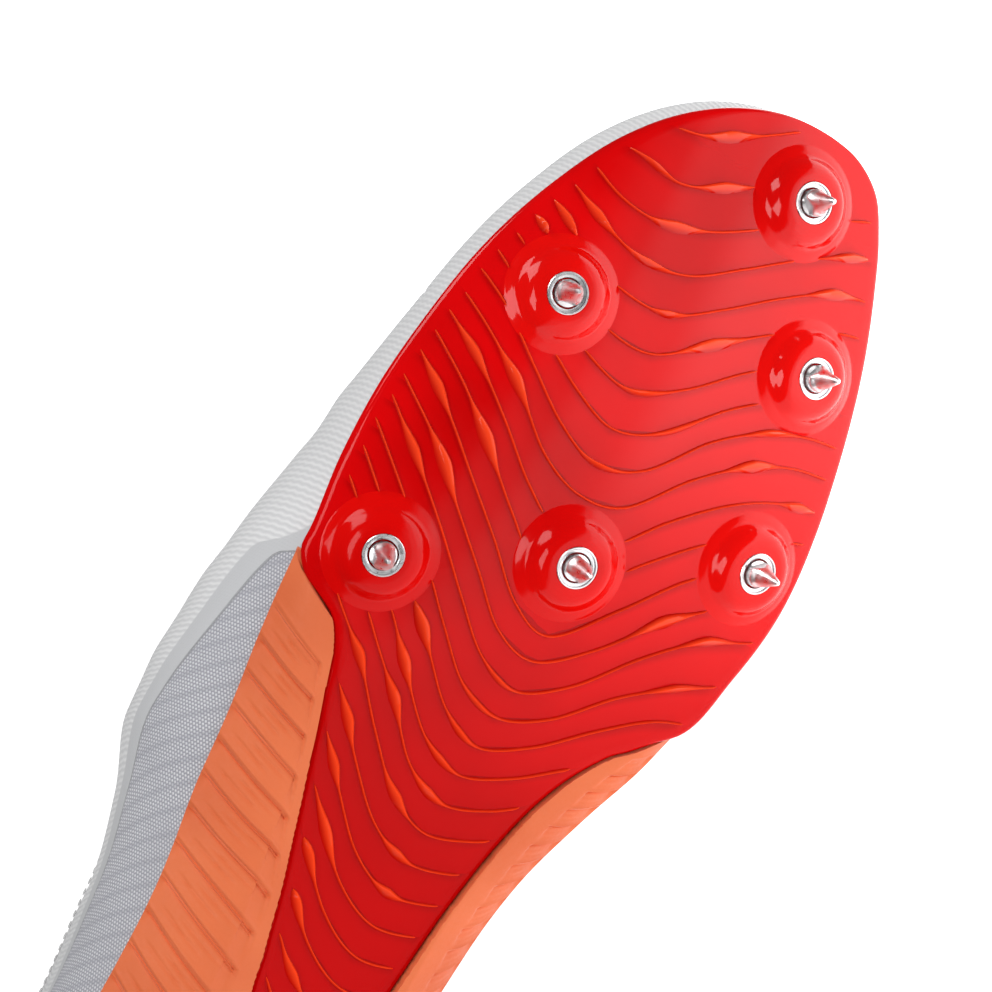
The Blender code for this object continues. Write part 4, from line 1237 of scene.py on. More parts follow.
# %% The shape of one rail line
# Pitch of the shingles, depths of the pattern, and how far it runs in under the sole.
RIB_PITCH = {"lateral": 0.0072, "medial": 0.0051}
SHINGLE_DROP = 0.0009
GROOVE_DEPTH = 0.0007
FINE_DEPTH = 0.0003
RIB_RUN_BACK = 0.45
FACE_POINTS = 24
FLAT_POINTS = 16
FLAT_REACH = 0.0100
RIB_REACH = 0.0275
REACH_STEP = 0.0002
RAIL_LINES = 620
RAIL_MERGE = 0.000002
SEAT_SHARES = (0, 0.3, 0.6, 0.85, 1)


def rib_relief(side, phase, reach, end):
    """Depth of the pressed pattern, and nearness to a groove and a crest, for painted shade and
    highlight.
    """
    stop = end - 0.0026 if side == "lateral" else 0.62 * end
    keep = ease(reach, 0.0002, 0.0012) * (1.0 - ease(reach, stop - 0.0005, stop + 0.0005))
    line = math.exp(-((phase - 0.05) / 0.06) ** 2) + math.exp(-((phase - 1.05) / 0.06) ** 2)
    line *= 1.0 + 0.8 * math.exp(-((reach - stop) / 0.0012) ** 2)
    crest = math.exp(-((phase - 0.19) / 0.06) ** 2)
    fine = 0.0
    for place, start, halt in ((0.45, 0.10, 0.62), (0.70, 0.30, 0.78)):
        hold = ease(reach / end, start, start + 0.1) * (1.0 - ease(reach / end, halt - 0.1, halt))
        fine += hold * math.exp(-((phase - place - 0.10 * reach / end) / 0.05) ** 2)
    fine = fine if side == "lateral" else 0.3 * fine
    slope = float(between(phase, 0.19, 1.0))
    relief = 0.0002 * crest - SHINGLE_DROP * slope - GROOVE_DEPTH * line - FINE_DEPTH * fine
    return keep * relief, keep * (line + 0.4 * fine), keep * crest


def plate_edge(side, x):
    """Distance of the plate's edge from the middle line, with the fitting gap."""
    path = PLATE.paths[side]
    front = path[:, 0] < 0.60 * LENGTH
    if x <= path[0, 0] - GAP:
        return 0.0
    return float(np.interp(x, path[front, 0], abs(path[front, 1]))) + GAP


def bare_line(side, share, end_share):
    """Line down the rail's face and on over its flat underside to the plate, with its normals."""
    fade = min(share / (0.12 * end_share), 1.0)
    slant = RIB_SLANT / SOLE.length(side) * fade
    run = RAIL_RUN * float(RAILS.read(side, share / end_share))
    spots, leans = [], []
    for down in np.linspace(0.0, 1.0, FACE_POINTS):
        at = max(share - slant * down, 0.0)
        point = SOLE.inset(side, at, run * down)
        lip = float(bed(point.x, point.y)) - GAP - FOAM_EDGE / 2
        foot = float(ground(point.x, point.y))
        lean = (SOLE.outward(side, at) * (lip - foot) - UP * run).normalized()
        height = lip + (foot - lip) * down
        spot = Vector((point.x, point.y, height)) + lean * RAIL_BULGE * math.sin(math.pi * down)
        edge = plate_edge(side, spot.x)
        if abs(spot.y) < edge:
            spot.y = SIDES[side] * edge
            spots += [spot] * (FACE_POINTS - len(spots))
            leans += [lean] * (FACE_POINTS - len(leans))
            break
        spots.append(spot)
        leans.append(lean)
    last = spots[-1]
    back, reach = RIB_RUN_BACK * fade, 0.0
    while abs(last.y) - reach > plate_edge(side, last.x - back * reach) and reach < abs(last.y):
        reach += REACH_STEP
    reach = min(reach, FLAT_REACH)
    for step in np.linspace(0.0, reach, FLAT_POINTS + 1)[1:]:
        x, y = last.x - back * step, abs(last.y) - step
        height = max(float(ground(x, y)), 0.0) if reach > 2 * REACH_STEP else last.z
        spots.append(Vector((x, SIDES[side] * y, height)))
        leans.append(-UP)
    return spots, leans, fade


def foam_half(side, share, end_share):
    """A loop: from the middle of the seat to the lip, down the rail and in under the plate."""
    at = share * end_share
    lip = SOLE.inset(side, at, FEATHER_INSET)
    seat_middle = Vector((lip.x, 0.0, 0.0))
    top = [at_height(seat_middle.lerp(lip, t), lambda x, y: bed(x, y) - GAP)
           for t in SEAT_SHARES]
    spots, leans, fade = bare_line(side, at, end_share)
    reaches = run_lengths(spots)
    pitch = RIB_PITCH[side] / SOLE.length(side)
    phase = 1.0 - (end_share - at + 0.30 * pitch) / pitch % 1.0
    ends = float(between(end_share - at, 1.2 * pitch, 2.0 * pitch)) * fade
    end = min(reaches[-1], RIB_REACH)
    rail, marks = [], []
    for spot, lean, reach in zip(spots, leans, reaches):
        relief, groove, crest = rib_relief(side, phase, reach, end)
        rail.append(spot + lean * relief * ends)
        marks.append((groove * ends, crest * ends))
    foot = spots[-1]
    edge = plate_edge(side, foot.x)
    rim = min(edge, abs(foot.y)) * SIDES[side]
    below = [Vector((foot.x, rim, float(ground(foot.x, rim)) if edge < abs(foot.y) else foot.z))]
    for t in (1.0, 0.5, 0.0):
        roof = float(plate_under(foot.x, rim * t)) + PLATE_THICKNESS + GAP
        below.append(Vector((foot.x, rim * t, roof if edge else float(ground(foot.x, 0.0)))))
    blank = (0.0, 0.0)
    return top + rail + below, [blank] * len(top) + marks + [blank] * len(below)


def make_foam():
    halves = []
    for side in SIDES:
        end_share = SOLE.share_at(side, HORNS[side] * LENGTH)
        loops = [foam_half(side, share, end_share) for share in np.linspace(0.0, 1.0, RAIL_LINES)]
        points, marks = [list(part) for part in zip(*loops)]
        middle = sum(points[-1], Vector()) / len(points[-1])
        points.append([middle] * len(points[-1]))
        marks.append([(0.0, 0.0)] * len(marks[-1]))
        inside = (0.08, SIDES[side] * 0.028, 0.008)
        half = grid_mesh(f"foam_{side}", points, closed=True, merge=RAIL_MERGE, outward=inside,
                         recalc=False)
        paint(half, points, np.array(marks))
        halves.append(half)
    return halves


def paint(made, points, marks):
    """Store the groove and crest shares for the painted shade and highlight, found again by place.
    """
    found = nearest_spots(made, [LAY @ Vector(p) for line in points for p in line])
    values = marks.reshape(-1, 2)[found]
    store_numbers(made.data, "groove", values[:, 0])
    store_numbers(made.data, "crest", values[:, 1])


foam_pieces = make_foam()
for piece in foam_pieces:
    keep_sharp(piece, 50)
    dress(piece, FOAM, stands_for=["midsole"])


# %% [markdown]
# ## The knit upper
# The upper is one hollow knit shell. Each line up its wall is a curve with four handles: where
# it leaves the sole, how it leans out, how it leans in at the top edge, and the top edge. The
# same rule made the solid, so the fine shell lies on it. Creases are laid on as soft
# troughs and ridges, and a wall is given inwards, so the inside of the shoe shows too.

# %% Points of the upper
def edge_point(side, share):
    """Point of the upper's top edge."""
    heights = TOP.column("height")
    heel = HEEL_HEIGHT - INSTEP_HEIGHT * heights[0]
    toe = TOE_HEIGHT - INSTEP_HEIGHT * heights[-1]
    z = INSTEP_HEIGHT * TOP.read("height", share)
    z += heel * (1.0 - between(share, 0.0, THROAT_TOP)) + toe * between(share, THROAT_TOP, 1.0)
    ahead = between(share, COLLAR_WIDEST, THROAT_TOP)
    half = (COLLAR_WIDTH + (THROAT_WIDTH - COLLAR_WIDTH) * ahead) / 2
    y = SIDES[side] * TOP.read("open", share) * half + TOP.read("sway", share) * BALL_WIDTH / 2
    return Vector((float(TOP.read("along", share)) * LENGTH, float(y), float(z)))


def upper_handles(side, share):
    foot = at_height(SOLE.inset(side, share, FEATHER_INSET), bed)
    edge = edge_point(side, share)
    reach = (edge - foot).length
    out = SOLE.outward(side, share)
    flare = math.radians(float(TOP.read(side, share)))
    up_foot = out * math.sin(flare) + UP * math.cos(flare)
    ahead = float(between(share, THROAT_TOP, VAMP_POINT))
    across = Vector((edge.x - foot.x, edge.y - foot.y, 0.0)).normalized()
    inward = (-out).lerp(across, ahead).normalized()
    lean = math.radians(float(TOP.read("lean", share)))
    up_edge = inward * math.sin(lean) + UP * math.cos(lean)
    if share >= VAMP_POINT:
        ridge = edge_point(side, min(share + STEP, 1.0)) - edge_point(side, share - STEP)
        ridge /= ridge.x
        up_edge = (ridge * inward.x + Vector((0.0, inward.y, 0.0))).normalized()
    return foot, foot + up_foot * FOOT_HANDLE * reach, edge - up_edge * EDGE_HANDLE * reach, edge


def handle_curve(a, b, c, d, t):
    return a * (1 - t) ** 3 + b * 3 * t * (1 - t) ** 2 + c * 3 * t * t * (1 - t) + d * t ** 3


def upper_point(side, share, rise):
    return handle_curve(*upper_handles(side, share), rise)


def upper_normal(side, share, rise):
    before = upper_point(side, max(share - STEP, 0.0), rise)
    after = upper_point(side, min(share + STEP, 1.0), rise)
    low = upper_point(side, share, max(rise - STEP, 0.0))
    high = upper_point(side, share, min(rise + STEP, 1.0))
    return (high - low).cross(after - before).normalized() * SIDES[side]


def off_upper(side, share, rise, distance):
    return upper_point(side, share, rise) + upper_normal(side, share, rise) * distance


# %% The fine shell
UPPER_LINES = 330
UPPER_POINTS = 46
MARGIN_DEPTHS = (0.009, 0.004)
SHELL_WALL = 0.0015
UPPER_CROWD = 0.35

# Creases, listed one by one: side, share and rise of both ends, width across in shares, and height
# in mm.
CREASES = (
    ("lateral", 0.60, 0.10, 0.66, 0.80, 0.012, -0.5),
    ("lateral", 0.63, 0.15, 0.69, 0.78, 0.010, 0.4),
    ("lateral", 0.52, 0.12, 0.56, 0.70, 0.015, -0.4),
    ("lateral", 0.46, 0.20, 0.48, 0.72, 0.016, 0.4),
    ("lateral", 0.10, 0.45, 0.20, 0.60, 0.020, -0.4),
    ("medial", 0.60, 0.10, 0.67, 0.80, 0.012, -0.5),
    ("medial", 0.56, 0.10, 0.60, 0.72, 0.013, 0.1),
    ("medial", 0.50, 0.15, 0.52, 0.70, 0.015, -0.4),
    ("medial", 0.12, 0.45, 0.22, 0.62, 0.020, -0.4),
    ("lateral", 0.70, 0.62, 0.78, 0.97, 0.022, -0.35),
    ("medial", 0.70, 0.62, 0.78, 0.97, 0.022, -0.35),
    ("lateral", 0.76, 0.40, 0.84, 0.95, 0.014, 0.35),
    ("medial", 0.76, 0.40, 0.84, 0.95, 0.014, 0.35),
)


def crease_height(side, share, rise):
    total = 0.0
    for where, s0, r0, s1, r1, width, height in CREASES:
        if where != side:
            continue
        run = (s1 - s0) ** 2 + 0.05 * (r1 - r0) ** 2
        t = ((share - s0) * (s1 - s0) + (rise - r0) * (r1 - r0) * 0.05) / run
        t = min(max(t, 0.0), 1.0)
        off = math.hypot((share - s0 - t * (s1 - s0)) / width, (rise - r0 - t * (r1 - r0)) / 0.12)
        total += height * MM * math.exp(-off * off) * math.sin(math.pi * min(max(t, 0.12), 0.88))
    return total


def upper_grid(side):
    """Lines of the wall, and the UV map in metres: along the sole's edge and up the wall."""
    lines, maps = [], []
    for share in crowded(UPPER_LINES, UPPER_CROWD):
        handles = upper_handles(side, share)
        margin = [at_height(SOLE.inset(side, share, FEATHER_INSET + deep), bed)
                  for deep in MARGIN_DEPTHS]
        rises = np.linspace(0.0, 1.0, UPPER_POINTS)
        wall = [handle_curve(*handles, t) for t in rises]
        folded = []
        for t, spot in zip(rises, wall):
            height = crease_height(side, share, t)
            if abs(height) > 1e-5:
                spot = spot + upper_normal(side, share, t) * height
            folded.append(spot)
        line = margin + folded
        climb = run_lengths(wall)
        along = share * SOLE.length(side)
        lines.append(line)
        maps.append([(along, -deep) for deep in MARGIN_DEPTHS] + [(along, v) for v in climb])
    return lines, maps


# %% [markdown]
# ## The knit and its panels
# The cloth is a fine mesh knit. Near the sole at the waist it is open, lilac grey and shows
# rows of small stitches with faint slanting stripes. Further up a smooth film covers it, and
# from the ball forward the film turns nearly white. All of it is drawn in metres on the UV
# map, so that the stitches keep their size round the toe, and each panel is a mask.

# %% Knit cloth
KNIT_TURN = math.radians(-30.0)
BAND = 0.085
STITCH = 0.00085
ROW = 0.00066
STRIPE = 0.0046
FILM_WAVE = 0.00125
FILM_SWAY = 0.0032


def knit(name, tone_low, tone_high, film=True):
    recipe = Recipe(name, tone_high, 0.85, Sheen_Weight=0.25, Sheen_Roughness=0.5,
                    Specular_IOR_Level=0.3)
    u, v = recipe.metres()
    along_x, along_y = math.cos(KNIT_TURN), math.sin(KNIT_TURN)
    across = recipe.plus(recipe.times(u, along_x), recipe.times(v, along_y))
    up = recipe.minus(recipe.times(v, along_x), recipe.times(u, along_y))
    row = recipe.math("DIVIDE", up, ROW)
    odd = recipe.times(recipe.math("FLOORED_MODULO", recipe.math("FLOOR", row), 2.0), 0.5)
    column = recipe.plus(recipe.math("DIVIDE", across, STITCH), odd)
    in_row = recipe.math("ABSOLUTE", recipe.minus(recipe.math("FRACT", row), 0.5))
    in_column = recipe.math("ABSOLUTE", recipe.minus(recipe.math("FRACT", column), 0.5))
    loop = recipe.times(recipe.span(in_row, 0.5, 0.15), recipe.span(in_column, 0.5, 0.12))
    stripe = recipe.math("FRACT", recipe.math("DIVIDE", across, STRIPE))
    stripe = recipe.span(recipe.math("ABSOLUTE", recipe.minus(stripe, 0.5)), 0.30, 0.46)
    where = recipe.place()
    yarn = recipe.noise(where, 2600.0, 2.0)
    cloud = recipe.noise(where, 60.0, 3.0)
    tone = recipe.mix(loop, tone_low, tone_high)
    tone = recipe.mix(recipe.times(stripe, 0.42), tone, tone_low)
    tone = recipe.mix(recipe.times(recipe.span(cloud, 0.3, 0.7), 0.15), tone, tone_low)
    height = recipe.plus(loop, recipe.times(yarn, 0.35))
    normal = recipe.bump(height, 0.00016, 0.8)
    rough = 0.85
    if film:
        over = recipe.attribute("over_edge")
        veil = recipe.span(over, -0.003, 0.003)
        seam = recipe.span(recipe.math("ABSOLUTE", over), 0.007, 0.002)
        pins = recipe.noise(where, 1200.0, 1.0)
        strip = recipe.span(over, BAND, BAND + 0.012)
        bend = recipe.times(recipe.math("SINE", recipe.times(v, math.tau / FILM_SWAY)), 0.45)
        wave = recipe.math("SINE", recipe.plus(recipe.times(u, math.tau / FILM_WAVE), bend))
        wave = recipe.times(recipe.plus(wave, 1.0), 0.5)
        white = recipe.mix(wave, (0.70, 0.70, 0.71), (0.84, 0.84, 0.845))
        smooth_tone = recipe.mix(strip, (0.60, 0.605, 0.62), white)
        tone = recipe.mix(veil, tone, smooth_tone)
        tone = recipe.mix(recipe.times(seam, 0.7), tone, (0.30, 0.30, 0.32))
        flat = recipe.minus(1.0, recipe.times(veil, 0.85))
        height = recipe.plus(recipe.times(height, flat), recipe.times(pins, 0.1))
        height = recipe.plus(height, recipe.times(recipe.times(wave, strip), 0.8))
        height = recipe.minus(height, recipe.times(seam, 1.2))
        normal = recipe.bump(height, 0.00020, 0.8)
        rough = recipe.minus(0.85, recipe.times(recipe.minus(veil, strip), 0.35))
    return recipe.finish(colour=tone, roughness=rough, normal=normal)


KNIT = knit("knit_white", (0.38, 0.38, 0.43), (0.80, 0.80, 0.83))
LINING = knit("lining_grey", (0.34, 0.34, 0.36), (0.60, 0.60, 0.62), film=False)

# %% The upper as one shell
# Lower edge of the film by share round the upper, as a rise up the wall.
FILM_EDGE = Chart(
    "share lateral medial",
    (0.00, 0.60, 0.60),
    (0.18, 0.54, 0.54),
    (0.30, 0.44, 0.44),
    (0.38, 0.34, 0.34),
    (0.44, 0.25, 0.25),
    (0.49, 0.15, 0.15),
    (0.525, 0.09, 0.09),
    (0.537, 0.06, 0.06),
    (0.546, -0.02, -0.02),
    (0.57, -0.10, -0.10),
    (1.00, -0.16, -0.16),
)


def mark_panels(made, keys):
    """How far up the wall each point lies from the film's lower edge."""
    values = []
    for found in nearest_spots(made, [spot for spot, _ in keys]):
        side, share, rise = keys[found][1]
        values.append(rise - float(FILM_EDGE.read(side, share)))
    store_numbers(made.data, "over_edge", values)


def make_upper():
    all_lines, all_maps, keys = [], [], []
    for side in SIDES:
        lines, maps = upper_grid(side)
        all_lines.append(lines)
        all_maps.append(maps)
        for share, line in zip(crowded(UPPER_LINES, UPPER_CROWD), lines):
            rises = [-0.2, -0.1] + list(np.linspace(0.0, 1.0, UPPER_POINTS))
            keys += [(LAY @ spot, (side, share, rise)) for spot, rise in zip(line, rises)]
    points = all_lines[0][::-1] + all_lines[1][1:]
    maps = [[(-u, v) for u, v in line] for line in all_maps[0][::-1]] + all_maps[1][1:]
    upper = grid_mesh("knit_upper", points, uv=maps, outward=(0.12, 0.0, 0.03), merge=0.00002)
    mark_panels(upper, keys)
    return upper


upper = make_upper()
shell = upper.modifiers.new("wall", "SOLIDIFY")
shell.thickness = SHELL_WALL
shell.offset = -1.0
shell.use_even_offset = True
dress(upper, KNIT, stands_for=["upper"])

# %% [markdown]
# ## The insole, the tongue and the eyestay
# Inside lies a thin insole, seen through the collar. The tongue is a padded strip that comes
# up out of the throat, and the eyestay is a smooth strip round the throat that carries the
# lace holes. All three follow the upper's own rule at a small distance.

# %% The insole
INSOLE_INSET = 0.0042
INSOLE_LINES = 120
INSOLE_ACROSS = 15
INSOLE_ROUND = 0.0006


def make_insole():
    lines, maps = [], []
    for share in crowded(INSOLE_LINES):
        lateral, medial = (SOLE.inset(side, share, INSOLE_INSET) for side in SIDES)
        line, line_map = [], []
        for layer in (0, 1):
            for place in np.linspace(layer, 1 - layer, INSOLE_ACROSS):
                at = lateral.lerp(medial, place)
                lift = WALL + 2 * GAP + INSOLE_THICKNESS * (1 - layer)
                near_edge = 1.0 - min(min(place, 1 - place) / 0.05, 1.0)
                rim = INSOLE_ROUND * near_edge * (1 - 2 * layer)
                line.append((at.x, at.y, float(bed(at.x, at.y)) + lift - rim))
                line_map.append((at.x, at.y))
        lines.append(line)
        maps.append(line_map)
    return grid_mesh("insole_board", lines, uv=maps, closed=True)


insole = make_insole()
keep_sharp(insole, 60)
dress(insole, LINING, stands_for=["insole"])

# %% The tongue
TONGUE_RISES = (0.74, 0.79, 0.84, 0.89, 0.94, 0.985)
TONGUE_PAD = 0.0022
# Lines past the top of the tongue: how far out, how wide by share, and how much lower.
TONGUE_TIP = (
    (0.0126, 0.62, 0.0016),
    (0.0122, 0.74, 0.0006),
    (0.0100, 0.82, 0.0),
    (0.0060, 0.91, 0.0),
    (0.0025, 0.97, 0.0),
)


def tongue_line(share):
    sink = 0.0014 * float(between(share, 0.64, VAMP_POINT))
    depth = -(WALL + 2 * GAP + sink)
    sides = {side: [off_upper(side, share, rise, depth) for rise in TONGUE_RISES] for side in SIDES}
    left, right = sides["lateral"][-1], sides["medial"][-1]
    arch = UP * 0.06 * (left - right).length
    bridge = [left.lerp(right, t) + arch * 4 * t * (1 - t) for t in np.linspace(0, 1, 13)[1:-1]]
    return sides["lateral"] + bridge + sides["medial"][::-1]


def make_tongue():
    top = tongue_line(0.44)
    middle = (top[0].y + top[-1].y) / 2
    lines = []
    for out, narrow, drop in TONGUE_TIP:
        shift = Vector((-out * 0.9, 0.0, out * 0.9 - drop))
        lines.append([Vector((p.x, middle + (p.y - middle) * narrow, p.z)) + shift for p in top])
    lines.append(top)
    lines += [tongue_line(share) for share in np.linspace(0.455, 0.735, 40)]
    along = run_lengths([line[9] for line in lines])
    maps = []
    for line, u in zip(lines, along):
        maps.append([(u, v) for v in run_lengths(line)])
    return grid_mesh("tongue_pad", lines, uv=maps, outward=(0.15, 0.0, 0.02))


tongue = make_tongue()
pad = tongue.modifiers.new("pad", "SOLIDIFY")
pad.thickness = TONGUE_PAD
pad.offset = -1.0
soft = tongue.modifiers.new("soft", "SUBSURF")
soft.levels = soft.render_levels = 1
dress(tongue, LINING, stands_for=["tongue"])


# %% Smooth film for the eyestay
def film_material():
    recipe = Recipe("film_grey", (0.70, 0.70, 0.72), 0.42, Coat_Weight=0.15, Coat_Roughness=0.35)
    where = recipe.place()
    grain = recipe.noise(where, 1500.0, 2.0)
    cloud = recipe.noise(where, 70.0, 3.0)
    tone = recipe.mix(recipe.span(cloud, 0.35, 0.65), (0.66, 0.66, 0.68), (0.74, 0.74, 0.755))
    return recipe.finish(colour=tone, roughness=recipe.span(grain, 0.3, 0.7, 0.36, 0.50),
                         normal=recipe.bump(grain, 0.00005, 0.5))


FILM = film_material()
FILM_THICKNESS = 0.0008
EYESTAY = Chart(
    "share low",
    (0.430, 0.78),
    (0.690, 0.78),
    (0.730, 0.84),
    (0.745, 0.90),
    (0.752, 0.96),
)


def make_eyestay():
    halves = []
    front = EYESTAY.column("share")[-1]
    shares = np.concatenate([np.linspace(THROAT_TOP, 0.69, 60), np.linspace(0.69, front, 24)[1:]])
    for side in SIDES:
        lines = []
        for share in shares:
            low = float(EYESTAY.read("low", share))
            rises = [low + (1.0 - low) * place for place in np.linspace(0, 1, 12)]
            lines.append([off_upper(side, share, rise, GAP) for rise in rises])
        halves.append(grid_mesh(f"eyestay_{side}", lines, outward=(0.15, 0.0, 0.03)))
    return halves


eyestays = make_eyestay()
for strip in eyestays:
    thick = strip.modifiers.new("film", "SOLIDIFY")
    thick.thickness = FILM_THICKNESS
    thick.offset = 1.0
    dress(strip, FILM, stands_for=["eyestay"])


# %% [markdown]
# ## The lace
# A flat woven lace crosses over the tongue from eyelet to eyelet. Each crossing is a strip that
# leaves an eyelet, rises over the throat's edge, bows over the foot and goes down into the
# eyelet on the other side. The weave is drawn along the strip's own UV map.

# %% Woven lace
EYELET_ROWS = 6
EYELET_RISE = 0.90
LACE_RISE = 0.985
LACE_BEND_RISE = 0.925
LACE_DRIFT = 0.26
LACE_ARCH = 0.09
EYESTAY_THICKNESS = 0.0009
LACE_THICKNESS = 0.0013
LACE_STEP = 0.0007
LACE_CLEARANCE = 0.0009
LACE_FACETS = 20
LACE_STEPS = 8
LACE_SHARES = (0.450, 0.665)


def lace_cloth():
    recipe = Recipe("lace_white", (0.80, 0.80, 0.79), 0.85, Sheen_Weight=0.3)
    u, v = recipe.metres()
    warp = recipe.math("ABSOLUTE", recipe.math("SINE", recipe.times(v, math.pi / 0.0007)))
    slant = recipe.plus(recipe.times(u, math.pi / 0.0010), recipe.times(warp, 1.2))
    weave = recipe.times(warp, recipe.math("ABSOLUTE", recipe.math("SINE", slant)))
    fuzz = recipe.noise(recipe.place(), 2500.0, 2.0)
    height = recipe.plus(weave, recipe.times(fuzz, 0.3))
    tone = recipe.mix(weave, (0.58, 0.58, 0.58), (0.86, 0.86, 0.85))
    return recipe.finish(colour=tone, normal=recipe.bump(height, 0.00018, 0.8))


LACE = lace_cloth()


def open_curve(knots, steps):
    padded = [knots[0] * 2 - knots[1]] + knots + [knots[-1] * 2 - knots[-2]]
    points = []
    for i in range(1, len(padded) - 2):
        p0, p1, p2, p3 = padded[i - 1: i + 3]
        square = p0 * 2 - p1 * 5 + p2 * 4 - p3
        cube = p1 * 3 - p0 - p2 * 3 + p3
        for t in np.arange(steps) / steps:
            points.append((p1 * 2 + (p2 - p0) * t + square * t * t + cube * t ** 3) / 2)
    return points + [knots[-1]]


def lace_bar(name, from_side, from_share, to_share, lift):
    to_side = "medial" if from_side == "lateral" else "lateral"
    clear = GAP + EYESTAY_THICKNESS + LACE_CLEARANCE + lift
    near = from_share + LACE_DRIFT * (to_share - from_share)
    far = to_share - LACE_DRIFT * (to_share - from_share)
    down = {side: off_upper(side, share, EYELET_RISE, -0.0006)
            for side, share in ((from_side, from_share), (to_side, to_share))}
    ends = [
        off_upper(from_side, from_share, LACE_BEND_RISE, clear),
        off_upper(from_side, near, LACE_RISE, clear),
        off_upper(to_side, far, LACE_RISE, clear),
        off_upper(to_side, to_share, LACE_BEND_RISE, clear),
    ]
    crest = (ends[1] + ends[2]) / 2 + UP * (ends[1] - ends[2]).length * LACE_ARCH
    knots = [down[from_side], *ends[:2], crest, *ends[2:], down[to_side]]
    path = open_curve(knots, LACE_STEPS)
    slope = edge_point(from_side, from_share + STEP) - edge_point(from_side, from_share - STEP)
    slope += edge_point(to_side, to_share + STEP) - edge_point(to_side, to_share - STEP)
    lines, maps = [], []
    run = 0.0
    for i, point in enumerate(path):
        ahead = (path[min(i + 1, len(path) - 1)] - path[max(i - 1, 0)]).normalized()
        face = ahead.cross(slope).normalized()
        face = face if face.z > 0 else -face
        edge = face.cross(ahead).normalized()
        pinch = 0.5 + 0.5 * float(ease(min(i, len(path) - 1 - i), 0, 8))
        half = LACE_WIDTH / 2 * pinch
        run += (path[i] - path[i - 1]).length if i else 0.0
        line, line_map = [], []
        for turn in np.linspace(0, math.tau, LACE_FACETS, endpoint=False):
            wide, high = math.cos(turn), math.sin(turn)
            wide = math.copysign(abs(wide) ** 0.6, wide)
            spot = point + edge * half * wide + face * LACE_THICKNESS * (0.5 + 0.45 * high)
            line.append(spot)
            line_map.append((run, half * wide))
        lines.append(line)
        maps.append(line_map)
    return grid_mesh(name, lines, uv=maps, closed=True)


shares = np.linspace(*LACE_SHARES, EYELET_ROWS)
bars = [lace_bar("lace_front", "lateral", shares[-1], shares[-1], 0.0)]
for i in range(EYELET_ROWS - 1):
    bars.append(lace_bar(f"lace_over_{i}", "lateral", shares[i + 1], shares[i], LACE_STEP * 2))
    bars.append(lace_bar(f"lace_under_{i}", "medial", shares[i + 1], shares[i], 0.0))
for bar in bars:
    dress(bar, LACE, stands_for=["laces"])

# %% [markdown]
# ## Eyelets and stitches
# The lace passes through small stitched rings, and two rows of stitches hold the eyestay.
# Both are one small shape set again and again along a line, so a node tree does it: it
# resamples the line, sets a shape on each point, turns it by the line's own directions, and
# makes the copies real. Each tree makes its shape inside; the stitch tree's first input is the
# spacing.

# %% Lines on the eyestay
def line_object(name, runs):
    """Polylines with the direction out of the cloth stored on their points."""
    verts, edges, outs = [], [], []
    for run in runs:
        for i, (spot, out) in enumerate(run):
            if i:
                edges.append((len(verts) - 1, len(verts)))
            verts.append(spot)
            outs.append(out)
    mesh = bpy.data.meshes.new(name)
    mesh.from_pydata(verts, edges, [])
    store_numbers(mesh, "outwards", outs)
    return place_object(name, mesh)


def cloth_spot(side, share, rise, distance):
    return off_upper(side, share, rise, distance), upper_normal(side, share, rise)


def stitch_tree():
    tree = Tree("set_stitches", ("Spacing", "NodeSocketFloat"), ("Length", "NodeSocketFloat"),
                ("Thickness", "NodeSocketFloat"), ("Material", "NodeSocketMaterial"))
    line = tree.add("GeometryNodeMeshToCurve", Mesh=tree.given("Geometry")).outputs[0]
    even = tree.add("GeometryNodeResampleCurve", {"mode": "LENGTH"}, Curve=line,
                    Length=tree.given("Spacing"))
    tangent = tree.add("GeometryNodeInputTangent").outputs[0]
    kept = tree.store(even.outputs[0], "ahead", tangent, "FLOAT_VECTOR")
    bead = tree.add("GeometryNodeMeshIcoSphere", Subdivisions=2, Radius=0.5).outputs[0]
    size = tree.add("ShaderNodeCombineXYZ", X=tree.given("Length"), Y=tree.given("Thickness"),
                    Z=tree.given("Thickness")).outputs[0]
    first = tree.add("FunctionNodeAlignRotationToVector", {"axis": "X"},
                     Vector=tree.named("ahead", "FLOAT_VECTOR"))
    turn = tree.add("FunctionNodeAlignRotationToVector", {"axis": "Z", "pivot_axis": "X"},
                    Rotation=first.outputs[0], Vector=tree.named("outwards", "FLOAT_VECTOR"))
    copies = tree.add("GeometryNodeInstanceOnPoints", Points=kept, Instance=bead,
                      Rotation=turn.outputs[0], Scale=size)
    return tree.close(copies.outputs[0])


def eyelet_tree():
    tree = Tree("set_eyelets", ("Radius", "NodeSocketFloat"), ("Thread", "NodeSocketFloat"),
                ("Material", "NodeSocketMaterial"))
    hoop = tree.add("GeometryNodeCurvePrimitiveCircle", Resolution=28, Radius=tree.given("Radius"))
    thread = tree.add("GeometryNodeCurvePrimitiveCircle", Resolution=8, Radius=tree.given("Thread"))
    ring = tree.add("GeometryNodeCurveToMesh", Curve=hoop.outputs[0],
                    Profile_Curve=thread.outputs[0])
    turn = tree.add("FunctionNodeAlignRotationToVector", {"axis": "Z"},
                    Vector=tree.named("outwards", "FLOAT_VECTOR"))
    copies = tree.add("GeometryNodeInstanceOnPoints", Points=tree.given("Geometry"),
                      Instance=ring.outputs[0], Rotation=turn.outputs[0])
    return tree.close(copies.outputs[0])


# %% Set them out
THREAD = 0.00045
ON_FILM = GAP + EYESTAY_THICKNESS
# Rows of stitches: rise, first and last share, number of spots, and height off the upper.
STITCH_ROWS = (
    (0.81, 0.44, 0.685, 60, ON_FILM),
    (0.965, 0.44, 0.685, 60, ON_FILM),
    (0.955, 0.03, 0.40, 80, GAP),
)


